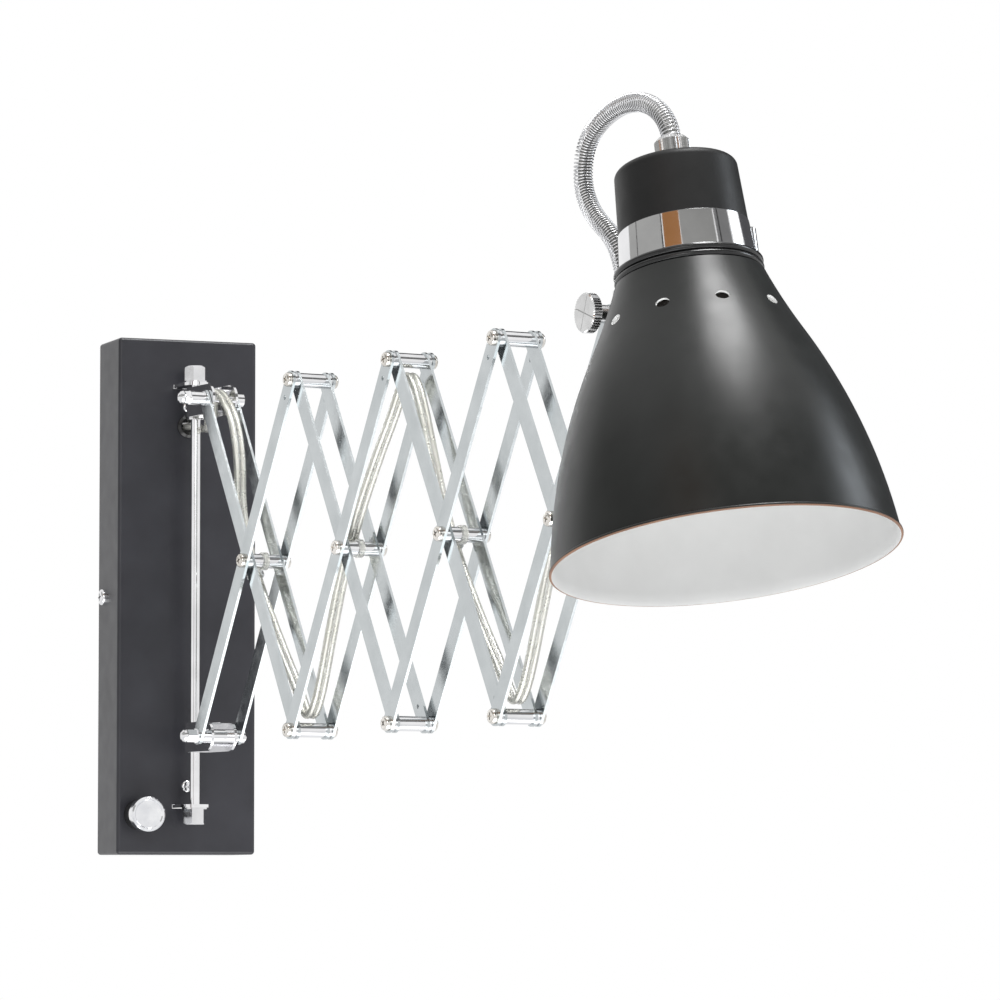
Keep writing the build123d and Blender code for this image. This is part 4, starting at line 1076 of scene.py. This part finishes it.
def facing(place, aim):
    """Frame at a place whose -Z axis points at the aim."""
    direction = Vector(aim) - Vector(place)
    return Matrix.Translation(place) @ direction.to_track_quat("-Z", "Y").to_matrix().to_4x4()


def camera():
    """Camera that sees the lamp as the photograph does."""
    roll = radians(ROLL)
    forward = -towards(AZIMUTH, ELEVATION)
    right = forward.cross(Vector((0, 0, 1))).normalized()
    up = right.cross(forward)
    right, up = right * cos(roll) + up * sin(roll), up * cos(roll) - right * sin(roll)
    x, y, z = AIM_IN_VIEW
    place = Vector(AIM) - right * x - up * y - forward * z
    data = bpy.data.cameras.new("camera")
    data.sensor_width = SENSOR
    data.lens = FOCAL_SHARE * SENSOR
    data.clip_start = 0.05
    data.clip_end = 60
    matrix = Matrix((right, up, -forward)).transposed().to_4x4()
    matrix.translation = place * MM
    holder = bpy.data.objects.new("camera", data)
    holder.matrix_world = matrix
    bpy.context.scene.collection.objects.link(holder)
    bpy.context.scene.camera = holder


def softbox(name, place, aim, size, watts, colour):
    """Rectangular light that the camera doesn't see."""
    data = bpy.data.lights.new(name, "AREA")
    data.shape = "RECTANGLE"
    data.size, data.size_y = size
    data.energy = watts
    data.color = colour
    holder = bpy.data.objects.new(name, data)
    holder.matrix_world = facing(place, aim)
    holder.visible_camera = False
    bpy.context.scene.collection.objects.link(holder)


def card(name, azimuth, elevation, size, grey):
    """Studio card that only mirrors show."""
    place = facing(CARD_CENTRE + towards(azimuth, elevation) * CARD_DISTANCE, CARD_CENTRE)
    w, h = size[0] / 2, size[1] / 2
    points = [place @ Vector(p) / MM for p in ((-w, -h, 0), (w, -h, 0), (w, h, 0), (-w, h, 0))]
    material, tree = shader(name)[:2]
    glow = tree.nodes.new("ShaderNodeEmission")
    glow.inputs["Color"].default_value = (*grey, 1)
    tree.links.new(glow.outputs["Emission"], tree.nodes["Material Output"].inputs["Surface"])
    piece = new_piece(name, points, [(0, 1, 2, 3)], [material])
    piece.visible_camera = False
    piece.visible_diffuse = False
    piece.visible_transmission = False
    piece.visible_shadow = False


def seen(tree):
    """1 for rays from the camera, off a mirror or through glass, else 0."""
    path = tree.nodes.new("ShaderNodeLightPath")
    value = path.outputs["Is Camera Ray"]
    for name in ("Is Glossy Ray", "Is Transmission Ray"):
        either = tree.nodes.new("ShaderNodeMath")
        either.operation = "MAXIMUM"
        tree.links.new(value, either.inputs[0])
        tree.links.new(path.outputs[name], either.inputs[1])
        value = either.outputs["Value"]
    return value


def surroundings():
    """Soft light all round, and plain white where the camera, a mirror or glass sees it."""
    world = bpy.data.worlds.new("studio")
    bpy.context.scene.world = world
    world.use_nodes = True
    tree = world.node_tree
    lit = tree.nodes["Background"]
    lit.inputs["Color"].default_value = SKY
    lit.inputs["Strength"].default_value = SKY_STRENGTH
    white = tree.nodes.new("ShaderNodeBackground")
    white.inputs["Color"].default_value = (1, 1, 1, 1)
    mix = tree.nodes.new("ShaderNodeMixShader")
    tree.links.new(seen(tree), mix.inputs["Fac"])
    tree.links.new(lit.outputs["Background"], mix.inputs[1])
    tree.links.new(white.outputs["Background"], mix.inputs[2])
    tree.links.new(mix.outputs["Shader"], tree.nodes["World Output"].inputs["Surface"])


def pale_floor():
    """Plain pale floor, well below the lamp, that takes its shadow."""
    side, drop = FLOOR_HALF / MM, FLOOR_Z / MM
    corners = [(-side, -side, drop), (side, -side, drop), (side, side, drop), (-side, side, drop)]
    material, tree, principled, coords = shader("pale_floor")
    pale = tint(tree, noise(tree, coords, scale=2.0), (0.80, 0.80, 0.80), (0.84, 0.84, 0.84))
    tree.links.new(pale, principled.inputs["Base Color"])
    principled.inputs["Roughness"].default_value = 0.9
    principled.inputs["Specular IOR Level"].default_value = 0.0
    principled.inputs["Emission Color"].default_value = (1, 1, 1, 1)
    share = tree.nodes.new("ShaderNodeMath")
    share.operation = "MULTIPLY"
    share.inputs[1].default_value = FLOOR_GLOW
    tree.links.new(seen(tree), share.inputs[0])
    tree.links.new(share.outputs["Value"], principled.inputs["Emission Strength"])
    new_piece("floor", corners, [(0, 1, 2, 3)], [material])


def studio():
    """View transform, world, floor, lights and cards."""
    bpy.context.scene.view_settings.view_transform = "Standard"
    surroundings()
    pale_floor()
    for row in LIGHTS:
        softbox(*row)
    for row in CARDS:
        card(*row)


camera()
studio()
